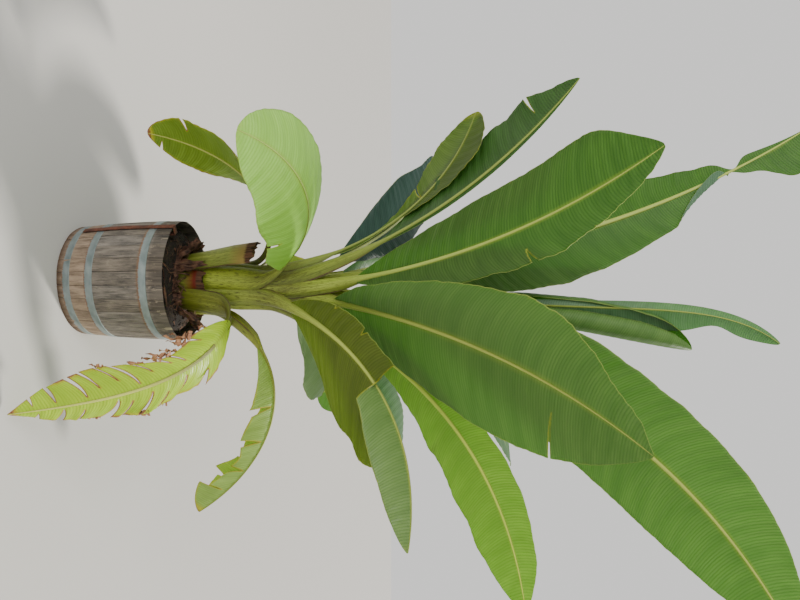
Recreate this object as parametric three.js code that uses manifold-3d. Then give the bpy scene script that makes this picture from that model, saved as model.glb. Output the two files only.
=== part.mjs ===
// A large-leaved banana of the Abyssinian kind, growing in half a wooden barrel.
// Millimetres, +Z up. The origin is the middle of the tub's flat underside, and the front is -Y.
import * as THREE from "three";
import Module from "manifold-3d";

const wasm = await Module();
wasm.setup();

// Driving dimensions of the tub
const TUB_HEIGHT = 515;
const RIM_RADIUS = 300;
const FOOT_RADIUS = 270;
const BELLY = 8; // how far the staves bow out of the straight cone at mid height
const STAVES = 28;
const WALL = 26;
const HEAD_THICKNESS = 30;
const GAP = 0.3; // clearance between neighbours that touch on the real thing

const HOOP_THICKNESS = 3;
const HOOP_CLEARANCE = 0.6; // clears the belly of the staves between their levels
const HOOPS = [
  { name: "hoop_upper", z: 415, height: 39 },
  { name: "hoop_lower", z: 156, height: 40 },
  { name: "hoop_foot", z: 45, height: 38 },
];

// A flat lifting strap: `bend` is where it turns from the lower to the upper slope of the staves
const STRAP = { width: 30, thickness: 4, foot: 70, bend: 280, hook: 38, standoff: 5, hookClearance: 3 };
const STRAP_AZIMUTHS = { strap_front_left: -146, strap_back_right: 34 };

const SOIL_EDGE = 455;
const SOIL_HEART = 505;
const SOIL_HEART_RADIUS = 215; // the soil is level inside this and falls to the staves outside it

// The false trunk: leaf bases wrapped round one another, as a cone that leans a little to +X and -Y
const TRUNK = { foot: SOIL_HEART + GAP, top: 1060, footRadius: 84, waistRadius: 96, topRadius: 84, flare: 10 };
const TRUNK_FOOT = [12, 45]; // where the middle of its foot and of its top stand, in X and Y
const TRUNK_HEAD = [40, 0];

// Leaf bases that clasp the false trunk: where each stands round it, how far it wraps, its top,
// its thickness at foot and top, and how far its foot and top stand off the trunk
const SHEATHS = [
  { name: "sheath_front_right", azimuth: -58, wrap: 24, top: 990, thick: [36, 27], off: [0, 0] },
  { name: "sheath_front_left", azimuth: -110, wrap: 27, top: 975, thick: [36, 29], off: [0, 2] },
  { name: "sheath_right", azimuth: -14, wrap: 19, top: 1030, thick: [30, 24], off: [0, 6] },
  { name: "sheath_left", azimuth: -152, wrap: 15, top: 1000, thick: [32, 24], off: [0, 0] },
  { name: "sheath_far_left", azimuth: 175, wrap: 17, top: 915, thick: [30, 26], off: [0, 4] },
  { name: "sheath_back_left", azimuth: 128, wrap: 21, top: 880, thick: [32, 26], off: [0, 2] },
  { name: "sheath_back", azimuth: 86, wrap: 19, top: 860, thick: [32, 26], off: [0, 2] },
  { name: "sheath_back_right", azimuth: 48, wrap: 17, top: 930, thick: [32, 26], off: [0, 2] },
  { name: "sheath_right_inner", azimuth: 16, wrap: 13, top: 980, thick: [28, 22], off: [0, 2] },
  { name: "sheath_far_right", azimuth: 10, wrap: 17, top: 720, thick: [36, 30], off: [34, 42] },
  { name: "sheath_cup", azimuth: -52, wrap: 19, top: 815, thick: [34, 22], off: [38, 98] },
];

// Old leaf bases cut off short, leaning outwards, with dry brown ends
const STUBS = [
  { name: "stub_left", azimuth: -140, wrap: 13.5, top: 905, thick: [36, 30], off: [36, 134] },
  { name: "stub_front", azimuth: -96, wrap: 16, top: 620, thick: [32, 28], off: [38, 46] },
  { name: "stub_back", azimuth: 108, wrap: 17, top: 690, thick: [34, 28], off: [34, 68] },
];

// Ragged dry sheaths round the foot of the plant
const DRY_SHEATHS = [
  { name: "dry_sheath_left", azimuth: -132, wrap: 22, top: 585, thick: [12, 10], off: [74, 92] },
  { name: "dry_sheath_front", azimuth: -70, wrap: 18, top: 545, thick: [12, 10], off: [74, 84] },
  { name: "dry_sheath_back", azimuth: 62, wrap: 28, top: 585, thick: [12, 10], off: [36, 60] },
];

// A leaf: its foot, its rib's length, the three directions that the rib bends through (azimuth
// and elevation at the foot, the middle and the tip), the petiole's share of the length, the
// half-widths left and right of the rib, the roll of its upper side at foot and tip, the fold of
// each half at foot and tip, and the outline's powers. A tear is a side, a share and a depth.
// A drop is a half that hangs from the rib beyond a tear, narrower than the half before it.
// Slim narrows the petiole and rib of a young leaf.
const PLAIN_OUTLINE = [1.6, 0.75, 5, 0.62];
const LEAVES = [
  {
    name: "leaf_front_right", foot: [68, -40, 1042], length: 1850, way: [-64, 72, -48, 62, -54, 33],
    petiole: 0.14, half: [395, 440], roll: [0, 0], fold: [-22, -10, -15, -10], outline: [2.2, 0.8, 2.6, 0.8],
    tears: [{ side: -1, at: 0.64, depth: 0.25, gap: 22 }],
  },
  {
    name: "leaf_front_left", foot: [46, -70, 1042], length: 1840, way: [-108, 76, -130, 65, -130, 40],
    petiole: 0.2, half: [310, 250], roll: [0, 0], fold: [-20, -15, -20, -10], outline: [2, 0.8, 3, 0.7],
    tears: [{ side: -1, at: 0.52, depth: 0.4, gap: 26 }],
  },
  {
    name: "leaf_low_front_right", foot: [91, -87, 968], length: 1460, way: [-52, 60, -26, 38, -14, -10],
    petiole: 0.08, half: [453, 248], roll: [-35, -16], fold: [0, 0, 10, 0], outline: [3.1, 0.8, 4.1, 0.74],
    tears: [{ side: 1, at: 0.52, depth: 0.92, gap: 26 }], drop: { side: 1, from: 0.52, fold: -80, width: 0.65 },
  },
  {
    name: "leaf_arching_front_left", foot: [0, -100, 955], length: 1010, way: [-142, 54, -132, 9, -124, -60],
    petiole: 0.1, half: [345, 305], roll: [-2, -4], fold: [10, -6, 7, -5], outline: [2.6, 0.7, 5, 0.62],
    split: 0.54, tears: [{ side: -1, at: 0.42, depth: 0.3, gap: 24 }],
  },
  {
    name: "leaf_hanging_front_right", foot: [153, -149, 800], length: 1138, way: [-29, 3, -71, -70, -102, -70],
    petiole: 0.06, half: [126, 150], roll: [0, 0], fold: [-10, -20, -10, -20], outline: PLAIN_OUTLINE,
    split: 0.24,
    tears: [
      { side: 1, at: 0.3, depth: 0.7, gap: 26 }, { side: 1, at: 0.42, depth: 0.75, gap: 30 },
      { side: 1, at: 0.55, depth: 0.8, gap: 46 }, { side: 1, at: 0.68, depth: 0.7, gap: 30 },
      { side: 1, at: 0.8, depth: 0.8, gap: 34 }, { side: -1, at: 0.36, depth: 0.7, gap: 30 },
      { side: -1, at: 0.49, depth: 0.8, gap: 28 }, { side: -1, at: 0.6, depth: 0.7, gap: 40 },
      { side: -1, at: 0.72, depth: 0.8, gap: 26 }, { side: -1, at: 0.83, depth: 0.7, gap: 28 },
    ],
  },
  {
    name: "leaf_tall_right", foot: [88, -10, 1042], length: 2900, way: [5, 80, -8, 66, -26, 18],
    petiole: 0.14, half: [370, 280], roll: [-50, -50], fold: [14, 4, 10, 4], outline: [2.2, 0.8, 3, 0.75],
  },
  {
    name: "leaf_tall_left", foot: [10, 0, 1042], length: 2900, way: [134, 84, 163, 75.5, 180, 57],
    petiole: 0.2, half: [255, 300], roll: [50, 90], fold: [14, 4, 14, 4], outline: [1.6, 0.75, 1, 1.8],
  },
  {
    name: "leaf_shaded_left", foot: [2, -64, 1042], length: 1690, way: [-158, 73, -162, 56, -163, 38],
    petiole: 0.24, half: [50, 320], roll: [10, 35], fold: [30, 10, 30, 10], outline: PLAIN_OUTLINE,
    tears: [{ side: 1, at: 0.66, depth: 0.5, gap: 26 }],
  },
  {
    name: "leaf_mid_left", foot: [-49, -53, 980], length: 1370, way: [152, 78, 175, 55, 180, 18],
    petiole: 0.2, half: [180, 310], roll: [20, 20], fold: [16, 10, 16, 10], outline: PLAIN_OUTLINE,
    tears: [{ side: 1, at: 0.62, depth: 0.8, gap: 40 }],
  },
  {
    name: "leaf_mid_right", foot: [112, 6, 1042], length: 1950, way: [10, 67, -4, 42, -30, 3],
    petiole: 0.2, half: [200, 128], roll: [-50, -50], fold: [0, 0, 50, 5], outline: [1.6, 0.75, 4, 0.7],
  },
  {
    name: "leaf_short_right", foot: [139, -25, 1012], length: 620, way: [20, 52, 26, 8, 30, -26],
    petiole: 0.15, half: [120, 170], roll: [0, 0], fold: [10, 0, 10, 0], outline: PLAIN_OUTLINE,
  },
  {
    name: "leaf_arching_right", foot: [165, 25, 700], length: 1325, way: [8, 57, 8, -22, 1, -58],
    petiole: 0.18, half: [160, 160], roll: [0, 0], fold: [-20, -50, -20, -50], outline: PLAIN_OUTLINE,
    split: 0.5,
    tears: [
      { side: 1, at: 0.44, depth: 0.8, gap: 40 }, { side: 1, at: 0.6, depth: 0.8, gap: 44 },
      { side: 1, at: 0.74, depth: 0.8, gap: 40 }, { side: 1, at: 0.86, depth: 0.7, gap: 30 },
      { side: -1, at: 0.4, depth: 0.7, gap: 30 }, { side: -1, at: 0.56, depth: 0.8, gap: 44 },
      { side: -1, at: 0.7, depth: 0.8, gap: 36 }, { side: -1, at: 0.83, depth: 0.7, gap: 30 },
    ],
  },
  {
    name: "leaf_hanging_left", foot: [-77, 15, 895], length: 990, way: [-160, 33, -158, -56, -154, -79],
    petiole: 0.2, half: [215, 180], roll: [0, 60], fold: [0, -10, 0, -10], outline: PLAIN_OUTLINE,
    split: 0.4, tears: [{ side: -1, at: 0.8, depth: 0.5, gap: 30 }],
  },
  {
    name: "leaf_spear_tall", foot: [38, 22, 1042], length: 2590, way: [78, 86, 72, 87, 14, 70.5],
    petiole: 0.2, half: [45, 95], roll: [0, 0], fold: [60, 60, 60, 60], outline: PLAIN_OUTLINE, slim: 0.5,
  },
  {
    name: "leaf_spear_short", foot: [66, 8, 1042], length: 2125, way: [48, 84, 40, 83, 10, 75],
    petiole: 0.2, half: [85, 85], roll: [0, 0], fold: [60, 60, 60, 60], outline: PLAIN_OUTLINE, slim: 0.5,
  },
  {
    name: "leaf_back_tall", foot: [48, 62, 1042], length: 1700, way: [80, 70, 84, 50, 88, 10],
    petiole: 0.2, half: [240, 240], roll: [0, 0], fold: [20, 5, 20, 5], outline: PLAIN_OUTLINE,
  },
  {
    name: "leaf_back_right_upper", foot: [88, 44, 1042], length: 2000, way: [50, 66, 44, 44, 36, 14],
    petiole: 0.2, half: [220, 220], roll: [0, 0], fold: [20, 5, 20, 5], outline: PLAIN_OUTLINE,
  },
  {
    name: "leaf_back_right_lower", foot: [132, 30, 962], length: 1400, way: [30, 60, 28, 32, 24, -10],
    petiole: 0.2, half: [200, 200], roll: [0, 0], fold: [20, 5, 20, 5], outline: PLAIN_OUTLINE,
  },
  {
    name: "leaf_back_left", foot: [-18, 34, 1042], length: 1300, way: [138, 66, 136, 36, 132, -4],
    petiole: 0.2, half: [190, 190], roll: [0, 0], fold: [20, 5, 20, 5], outline: PLAIN_OUTLINE,
  },
  {
    name: "leaf_back_mid", foot: [8, 66, 1042], length: 1500, way: [108, 60, 106, 30, 104, -20],
    petiole: 0.2, half: [210, 210], roll: [0, 0], fold: [20, 5, 20, 5], outline: PLAIN_OUTLINE,
  },
  {
    name: "leaf_back_right_arching", foot: [107, 80, 912], length: 1400, way: [60, 52, 58, 10, 54, -50],
    petiole: 0.18, half: [200, 200], roll: [0, 0], fold: [14, -4, 14, -4], outline: PLAIN_OUTLINE, split: 0.55,
  },
  {
    name: "leaf_back_left_arching", foot: [-37, 88, 862], length: 1150, way: [148, 34, 144, -10, 138, -60],
    petiole: 0.18, half: [190, 190], roll: [0, 0], fold: [10, -6, 10, -6], outline: PLAIN_OUTLINE, split: 0.5,
  },
  {
    name: "leaf_back_hanging", foot: [38, 113, 842], length: 1150, way: [95, 46, 94, -14, 92, -66],
    petiole: 0.16, half: [170, 170], roll: [0, 0], fold: [6, -10, 6, -10], outline: PLAIN_OUTLINE, split: 0.45,
  },
];

const RIB_STEPS = 80; // straight steps that a rib's curve is summed in
const PETIOLE_STATIONS = 3;
const BLADE_STATIONS = 11;
const SWEEP = 0.25; // how far the side veins run ahead towards the tip, in half-widths
const OUTLINE_SAMPLES = 50; // places along the blade where its widest is looked for
const DROP_STEP = 0.004; // share of the rib over which a half turns down to hang
const BLADE_END = 0.995; // the last station, just short of the tip
// Half the width of the petiole and rib: at the tip, at the foot of a very short leaf, one
// millimetre more for each perLength of length, and pinched over the first pinchSpan of it
const RIB = { tip: 4, foot: 16, perLength: 90, power: 0.8, pinch: 0.55, pinchSpan: 0.08 };
// Through the rib, as a share of the leaf's length, times the factors at foot and tip. The rib
// stands out below the blade and is sunk above it.
const THICKNESS = { share: 0.011, foot: 1.25, tip: 0.55, margin: 6, above: 0.4, below: -1.6 };
// A tear's mouth past the margin, how far it slants to the tip, and its depth through the blade
const TEAR = { mouth: 1.25, slant: 0.1, through: 90 };

const COLOURS = {
  oak: 0x7d7468, head: 0x8a7b66, steel: 0x8b959b, rust: 0x6a3b28, soil: 0x3a2c22, trunk: 0x8f9a52,
  sheath: 0x9fae58, stub: 0x7c6a3c, dry: 0x6b4a30, leaf: 0x6f9a3a, paleLeaf: 0x9dbb6a, yellowLeaf: 0xa9bd4b,
};

const object = new THREE.Group();
const radians = THREE.MathUtils.degToRad;
const mix = THREE.MathUtils.lerp;
const ease = (t) => t * t * (3 - 2 * t);

function material(colour, roughness = 0.6, metalness = 0) {
  return new THREE.MeshStandardMaterial({ color: colour, roughness, metalness });
}

function addMesh(name, geometry, finish) {
  const mesh = new THREE.Mesh(geometry, finish);
  mesh.name = name;
  object.add(mesh);
}

// A closed geometry through rings of equal length, with a fan on each end
function loft(rings) {
  const count = rings[0].length;
  const vertices = rings.flat();
  const triangles = [];
  for (let i = 0; i + 1 < rings.length; i++) {
    for (let k = 0; k < count; k++) {
      const a = i * count + k;
      const b = i * count + ((k + 1) % count);
      triangles.push(a, b, b + count, a, b + count, a + count);
    }
  }
  const ends = [{ ring: 0, turn: 1 }, { ring: rings.length - 1, turn: -1 }];
  for (const { ring, turn } of ends) {
    const centre = new THREE.Vector3();
    rings[ring].forEach((p) => centre.addScaledVector(p, 1 / count));
    const hub = vertices.push(centre) - 1;
    for (let k = 0; k < count; k++) {
      const a = ring * count + k;
      const b = ring * count + ((k + 1) % count);
      triangles.push(...(turn > 0 ? [hub, b, a] : [hub, a, b]));
    }
  }
  return outward(vertices, triangles);
}

// Turns the faces over where they enclose a negative volume
function outward(vertices, triangles) {
  let volume = 0;
  for (let i = 0; i < triangles.length; i += 3) {
    const [a, b, c] = [0, 1, 2].map((k) => vertices[triangles[i + k]]);
    volume += a.dot(new THREE.Vector3().crossVectors(b, c));
  }
  const faces = volume > 0 ? triangles : triangles.toReversed();
  const geometry = new THREE.BufferGeometry();
  geometry.setAttribute("position", new THREE.Float32BufferAttribute(vertices.flatMap((p) => p.toArray()), 3));
  geometry.setIndex(faces);
  return geometry;
}

function toSolid(geometry) {
  const vertProperties = new Float32Array(geometry.attributes.position.array);
  const triVerts = new Uint32Array(geometry.index.array);
  return new wasm.Manifold(new wasm.Mesh({ numProp: 3, vertProperties, triVerts }));
}

// The largest piece of a solid as a geometry: loose scraps left by a cut are dropped
function toGeometry(solid) {
  const pieces = solid.decompose().sort((a, b) => b.volume() - a.volume());
  const mesh = pieces[0].getMesh();
  const geometry = new THREE.BufferGeometry();
  geometry.setAttribute("position", new THREE.BufferAttribute(mesh.vertProperties, 3));
  geometry.setIndex(new THREE.BufferAttribute(mesh.triVerts, 1));
  return geometry;
}

// Tub

const coneRadius = (z) => mix(FOOT_RADIUS, RIM_RADIUS, z / TUB_HEIGHT);
const outerRadius = (z) => coneRadius(z) + BELLY * Math.sin((Math.PI * z) / TUB_HEIGHT);
const innerRadius = (z) => outerRadius(z) - WALL;
const STAVE_LEVELS = [0, 85, 178, 280, 392, TUB_HEIGHT];

// A closed profile of [radius, z] points spun about the tub's axis
function spin(profile) {
  const rings = [];
  for (let k = 0; k < STAVES; k++) {
    const angle = (2 * Math.PI * (k + 0.5)) / STAVES;
    rings.push(profile.map(([r, z]) => new THREE.Vector3(r * Math.cos(angle), r * Math.sin(angle), z)));
  }
  const count = profile.length;
  const triangles = [];
  for (let i = 0; i < STAVES; i++) {
    for (let k = 0; k < count; k++) {
      const a = i * count + k;
      const b = i * count + ((k + 1) % count);
      const next = ((i + 1) % STAVES) * count - i * count;
      triangles.push(a, b, b + next, a, b + next, a + next);
    }
  }
  return outward(rings.flat(), triangles);
}

// A solid of revolution that is closed on the axis, by a hub at each end
function spinSolid(profile) {
  const rings = profile.map(([r, z]) => {
    const ring = [];
    for (let k = 0; k < STAVES; k++) {
      const angle = (2 * Math.PI * (k + 0.5)) / STAVES;
      ring.push(new THREE.Vector3(r * Math.cos(angle), r * Math.sin(angle), z));
    }
    return ring;
  });
  return loft(rings);
}

const outerProfile = STAVE_LEVELS.map((z) => [outerRadius(z), z]);
const innerProfile = STAVE_LEVELS.toReversed().map((z) => [innerRadius(z), z]);
addMesh("tub_staves", spin([...outerProfile, ...innerProfile]), material(COLOURS.oak, 0.85));

addMesh(
  "tub_head",
  spinSolid([[innerRadius(0) - GAP, 0], [innerRadius(HEAD_THICKNESS) - GAP, HEAD_THICKNESS]]),
  material(COLOURS.head, 0.85),
);

for (const hoop of HOOPS) {
  const low = hoop.z - hoop.height / 2;
  const high = hoop.z + hoop.height / 2;
  const inside = (z) => outerRadius(z) + HOOP_CLEARANCE;
  const profile = [
    [inside(low), low], [inside(low) + HOOP_THICKNESS, low],
    [inside(high) + HOOP_THICKNESS, high], [inside(high), high],
  ];
  addMesh(hoop.name, spin(profile), material(COLOURS.steel, 0.5, 0.7));
}

// A flat iron strap that hooks over the rim and runs down outside the hoops
function strapGeometry(azimuth) {
  const out = (z) => outerRadius(z) + HOOP_THICKNESS + STRAP.standoff;
  const lip = TUB_HEIGHT + GAP;
  const t = STRAP.thickness;
  const hookRadius = innerRadius(TUB_HEIGHT) - STRAP.hookClearance;
  const section = [
    [out(STRAP.foot), STRAP.foot], [out(STRAP.foot) + t, STRAP.foot], [out(STRAP.bend) + t, STRAP.bend],
    [out(lip) + t, lip + t], [hookRadius - t, lip + t], [hookRadius - t, TUB_HEIGHT - STRAP.hook],
    [hookRadius, TUB_HEIGHT - STRAP.hook], [hookRadius, lip], [out(lip), lip], [out(STRAP.bend), STRAP.bend],
  ];
  const shape = new THREE.Shape(section.map(([r, z]) => new THREE.Vector2(r, z)));
  const geometry = new THREE.ExtrudeGeometry(shape, { depth: STRAP.width, bevelEnabled: false });
  geometry.translate(0, 0, -STRAP.width / 2);
  geometry.rotateX(Math.PI / 2);
  geometry.rotateZ(radians(azimuth));
  return geometry;
}
for (const [name, azimuth] of Object.entries(STRAP_AZIMUTHS)) {
  addMesh(name, strapGeometry(azimuth), material(COLOURS.rust, 0.8, 0.4));
}

const soilBottom = HEAD_THICKNESS + GAP;
const SOIL_LEVELS = [190, 300]; // where the soil follows the belly of the staves
const soilProfile = [soilBottom, ...SOIL_LEVELS, SOIL_EDGE].map((z) => [innerRadius(z) - 2 * GAP, z]);
addMesh("soil", spinSolid([...soilProfile, [SOIL_HEART_RADIUS, SOIL_HEART]]), material(COLOURS.soil, 1));

// False trunk and the leaf bases on it

const trunkCentre = (z) => {
  const share = (z - TRUNK.foot) / (TRUNK.top - TRUNK.foot);
  return new THREE.Vector3(mix(TRUNK_FOOT[0], TRUNK_HEAD[0], share), mix(TRUNK_FOOT[1], TRUNK_HEAD[1], share), z);
};
const trunkRadius = (z) => {
  const share = THREE.MathUtils.clamp((z - TRUNK.foot) / (TRUNK.top - TRUNK.foot), 0, 1);
  const taper = share < 0.5
    ? mix(TRUNK.footRadius, TRUNK.waistRadius, share * 2)
    : mix(TRUNK.waistRadius, TRUNK.topRadius, share * 2 - 1);
  return taper + TRUNK.flare * (1 - share) ** 6;
};
const TRUNK_LEVELS = [0, 0.08, 0.2, 0.4, 0.6, 0.8, 0.92, 1];
const TRUNK_SIDES = 20;

function trunkSolid(grow) {
  const rings = TRUNK_LEVELS.map((share) => {
    const z = mix(TRUNK.foot, TRUNK.top, share);
    const shift = share === 0 ? -grow : share === 1 ? grow : 0;
    const ring = [];
    for (let k = 0; k < TRUNK_SIDES; k++) {
      const angle = (2 * Math.PI * k) / TRUNK_SIDES;
      const r = trunkRadius(z) + grow;
      const p = trunkCentre(z);
      ring.push(new THREE.Vector3(p.x + r * Math.cos(angle), p.y + r * Math.sin(angle), z + shift));
    }
    return ring;
  });
  return toSolid(loft(rings));
}

// A leaf base: a crescent that wraps the trunk, thick in its middle and thin at its edges
const SHEATH_LEVELS = 5;
const SHEATH_ACROSS = 5;
const SHEATH_EDGE = 0.25; // its thickness at the edges, as a share of that in its middle
const SHEATH_TAPER = 0.1; // how much more it wraps at the foot, and less at the top
function sheathSolid(sheath, grow) {
  const rings = [];
  for (let i = 0; i < SHEATH_LEVELS; i++) {
    const share = i / (SHEATH_LEVELS - 1);
    const z = mix(TRUNK.foot - grow, sheath.top + grow, share);
    const centre = trunkCentre(z);
    const inner = trunkRadius(z) + mix(sheath.off[0], sheath.off[1], share) + 2 * GAP;
    const wrap = sheath.wrap * mix(1 + SHEATH_TAPER, 1 - SHEATH_TAPER, share);
    const thick = mix(sheath.thick[0], sheath.thick[1], share);
    const point = (across, radius) => {
      const reach = radians(wrap) + grow / inner;
      const angle = radians(sheath.azimuth) + across * reach;
      return new THREE.Vector3(centre.x + radius * Math.cos(angle), centre.y + radius * Math.sin(angle), z);
    };
    const ring = [];
    for (let k = 0; k <= SHEATH_ACROSS; k++) {
      const across = (2 * k) / SHEATH_ACROSS - 1;
      const bulge = mix(SHEATH_EDGE, 1, Math.sqrt(1 - across * across));
      ring.push(point(across, inner + thick * bulge + grow));
    }
    for (let k = SHEATH_ACROSS; k >= 0; k--) {
      ring.push(point((2 * k) / SHEATH_ACROSS - 1, inner - grow));
    }
    rings.push(ring);
  }
  return toSolid(loft(rings));
}

// Leaves

function direction(azimuth, elevation) {
  const a = radians(azimuth);
  const e = radians(elevation);
  return new THREE.Vector3(Math.cos(a) * Math.cos(e), Math.sin(a) * Math.cos(e), Math.sin(e));
}

class Leaf {
  constructor(values) {
    Object.assign(this, values);
    this.ways = [0, 2, 4].map((i) => direction(this.way[i], this.way[i + 1]));
    const middle = radians(this.way[2]);
    this.side = new THREE.Vector3(Math.sin(middle), -Math.cos(middle), 0);
    this.points = [new THREE.Vector3(...this.foot)];
    for (let k = 0; k < RIB_STEPS; k++) {
      const step = this.tangent((k + 0.5) / RIB_STEPS).multiplyScalar(this.length / RIB_STEPS);
      this.points.push(this.points[k].clone().add(step));
    }
    this.widest = 0;
    for (let k = 1; k < OUTLINE_SAMPLES; k++) {
      this.widest = Math.max(this.widest, this.outlineAt(k / OUTLINE_SAMPLES));
    }
  }

  tangent(s) {
    const sum = new THREE.Vector3();
    const weights = [(1 - s) ** 2, 2 * s * (1 - s), s * s];
    weights.forEach((weight, i) => sum.addScaledVector(this.ways[i], weight));
    return sum.normalize();
  }

  // The rib's point, tangent, right hand and upper side at share s of its length
  frame(s) {
    const x = s * RIB_STEPS;
    const k = Math.min(Math.floor(x), RIB_STEPS - 1);
    const point = this.points[k].clone().lerp(this.points[k + 1], x - k);
    const along = this.tangent(s);
    const flat = this.side.clone().addScaledVector(along, -this.side.dot(along)).normalize();
    const rise = new THREE.Vector3().crossVectors(flat, along);
    const roll = radians(mix(this.roll[0], this.roll[1], ease(s)));
    const right = flat.clone().multiplyScalar(Math.cos(roll)).addScaledVector(rise, -Math.sin(roll));
    const up = rise.clone().multiplyScalar(Math.cos(roll)).addScaledVector(flat, Math.sin(roll));
    return { point, along, right, up };
  }

  outlineAt(t) {
    const [a, b, c, d] = this.outline;
    return (1 - (1 - t) ** a) ** b * (1 - t ** c) ** d;
  }

  bladeShare(s) {
    return THREE.MathUtils.clamp((s - this.petiole) / (1 - this.petiole), 0, 1);
  }

  hasDropped(s, q) {
    return this.drop !== undefined && Math.sign(q) === this.drop.side && s > this.drop.from;
  }

  halfWidth(s, q) {
    const t = this.bladeShare(s);
    if (t <= 0 || t >= 1) return 0;
    const dropped = this.hasDropped(s, q) ? this.drop.width : 1;
    return (dropped * this.half[q > 0 ? 1 : 0] * this.outlineAt(t)) / this.widest;
  }

  // The rib and petiole are narrow at the foot, where many stand side by side, then full, and taper
  ribHalfWidth(s) {
    const full = mix(RIB.tip, RIB.foot + this.length / RIB.perLength, (1 - s) ** RIB.power);
    return (this.slim ?? 1) * full * mix(RIB.pinch, 1, Math.min(1, s / RIB.pinchSpan));
  }

  // The middle of the blade at rib share s, from q = -1 at the left margin to 1 at the right one,
  // moved by lift along the blade's own normal
  at(s, q, lift = 0, grow = 0) {
    const { point, along, right, up } = this.frame(s);
    const sign = q < 0 ? -1 : 1;
    const t = this.bladeShare(s);
    const foldIndex = q < 0 ? 0 : 2;
    const keyed = this.hasDropped(s, q) ? this.drop.fold : mix(this.fold[foldIndex], this.fold[foldIndex + 1], t);
    const fold = t > 0 ? radians(keyed) : 0;
    const half = this.halfWidth(s, q);
    const reach = half * Math.abs(q);
    const ribReach = (this.ribHalfWidth(s) + grow) * q;
    const ahead = SWEEP * half * q * q * (1 - t ** 4);
    const normalOut = q === 0 ? 0 : -sign * Math.sin(fold);
    const normalUp = q === 0 ? 1 : Math.cos(fold);
    return point
      .addScaledVector(right, ribReach + sign * reach * Math.cos(fold) + lift * normalOut)
      .addScaledVector(up, reach * Math.sin(fold) + lift * normalUp)
      .addScaledVector(along, ahead);
  }

  // One ring round the leaf: the upper face from left to right, then the lower face back
  ring(s, grow) {
    const core = this.length * THICKNESS.share * mix(THICKNESS.foot, THICKNESS.tip, s);
    const across = [-1, -0.5, 0, 0.5, 1];
    const depth = (q) => mix(core, THICKNESS.margin, Math.abs(q)) / 2;
    const above = (q) => (q === 0 ? THICKNESS.above : 1) * depth(q) + grow;
    const below = (q) => (q === 0 ? THICKNESS.below : -1) * depth(q) - grow;
    const upper = across.map((q) => this.at(s, q, above(q), grow));
    const lower = across.toReversed().map((q) => this.at(s, q, below(q), grow));
    return [...upper, ...lower];
  }

  // The leaf's solid from share `from` to share `to`, made larger all round by grow
  solid(from, to, grow) {
    const stations = [];
    for (let k = 0; k < PETIOLE_STATIONS; k++) stations.push((this.petiole * k) / PETIOLE_STATIONS);
    for (let k = 0; k <= BLADE_STATIONS; k++) {
      // stations crowd towards both ends of the blade, where its outline turns most
      const t = (1 - Math.cos((Math.PI * k) / BLADE_STATIONS)) / 2;
      stations.push(mix(this.petiole, BLADE_END, t));
    }
    if (this.drop) stations.push(this.drop.from - DROP_STEP, this.drop.from + DROP_STEP);
    stations.sort((a, b) => a - b);
    const inside = stations.filter((s) => s > from + 0.01 && s < to - 0.01);
    const rings = [from, ...inside, Math.min(to, BLADE_END)].map((s) => this.ring(s, grow));
    if (grow > 0) {
      const start = this.tangent(from).multiplyScalar(-grow);
      rings[0].forEach((p) => p.add(start));
    }
    return toSolid(loft(rings));
  }

  // A wedge that opens from near the rib to past the margin, along the side veins
  tearSolid({ side, at, depth, gap }) {
    const { up, along } = this.frame(at);
    const apex = this.at(at, side * (1 - depth));
    const mouth = this.at(at, side * TEAR.mouth);
    mouth.addScaledVector(along, TEAR.slant * mouth.distanceTo(apex));
    const spread = along.clone().multiplyScalar(gap / 2);
    const deep = up.clone().multiplyScalar(TEAR.through);
    const corners = [apex, mouth.clone().sub(spread), mouth.clone().add(spread)];
    return toSolid(loft([
      corners.map((p) => p.clone().sub(deep)),
      corners.map((p) => p.clone().add(deep)),
    ]));
  }
}

const GROW = 0.5; // a neighbour is made this much larger before it cuts a piece clear
const placed = [];

// Cuts a solid clear of everything placed before it, then places it
function place(name, solid, grown, finish) {
  let clear = solid;
  for (const other of placed) clear = clear.subtract(other);
  placed.push(grown);
  addMesh(name, toGeometry(clear), finish);
}

place("false_trunk", trunkSolid(0), trunkSolid(GROW), material(COLOURS.trunk, 0.6));
for (const sheath of SHEATHS) {
  place(sheath.name, sheathSolid(sheath, 0), sheathSolid(sheath, GROW), material(COLOURS.sheath, 0.55));
}
for (const stub of STUBS) {
  place(stub.name, sheathSolid(stub, 0), sheathSolid(stub, GROW), material(COLOURS.stub, 0.8));
}
for (const dry of DRY_SHEATHS) {
  place(dry.name, sheathSolid(dry, 0), sheathSolid(dry, GROW), material(COLOURS.dry, 0.95));
}

const PALE = new Set(["leaf_arching_front_left", "leaf_short_right"]);
const YELLOW = new Set(["leaf_hanging_front_right", "leaf_arching_right", "leaf_hanging_left"]);
for (const values of LEAVES) {
  const leaf = new Leaf(values);
  const colour = PALE.has(leaf.name) ? COLOURS.paleLeaf : YELLOW.has(leaf.name) ? COLOURS.yellowLeaf : COLOURS.leaf;
  // a leaf that bends over is two solids, which meet just clear of each other at the bend
  const halfGap = GAP / leaf.length;
  const spans = leaf.split
    ? [["_inner", 0, leaf.split - halfGap], ["_outer", leaf.split + halfGap, 1]]
    : [["", 0, 1]];
  const parts = spans.map(([suffix, from, to]) => {
    let solid = leaf.solid(from, to, 0);
    for (const tear of leaf.tears ?? []) solid = solid.subtract(leaf.tearSolid(tear));
    for (const other of placed) solid = solid.subtract(other);
    return { suffix, solid };
  });
  placed.push(leaf.solid(0, 1, GROW));
  for (const { suffix, solid } of parts) {
    addMesh(leaf.name + suffix, toGeometry(solid), material(colour, 0.5));
  }
}

export default object;
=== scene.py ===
import math
import random
from dataclasses import dataclass
from functools import partial

import bmesh
import bpy
import numpy as np
from mathutils import Matrix, Vector, noise


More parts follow.
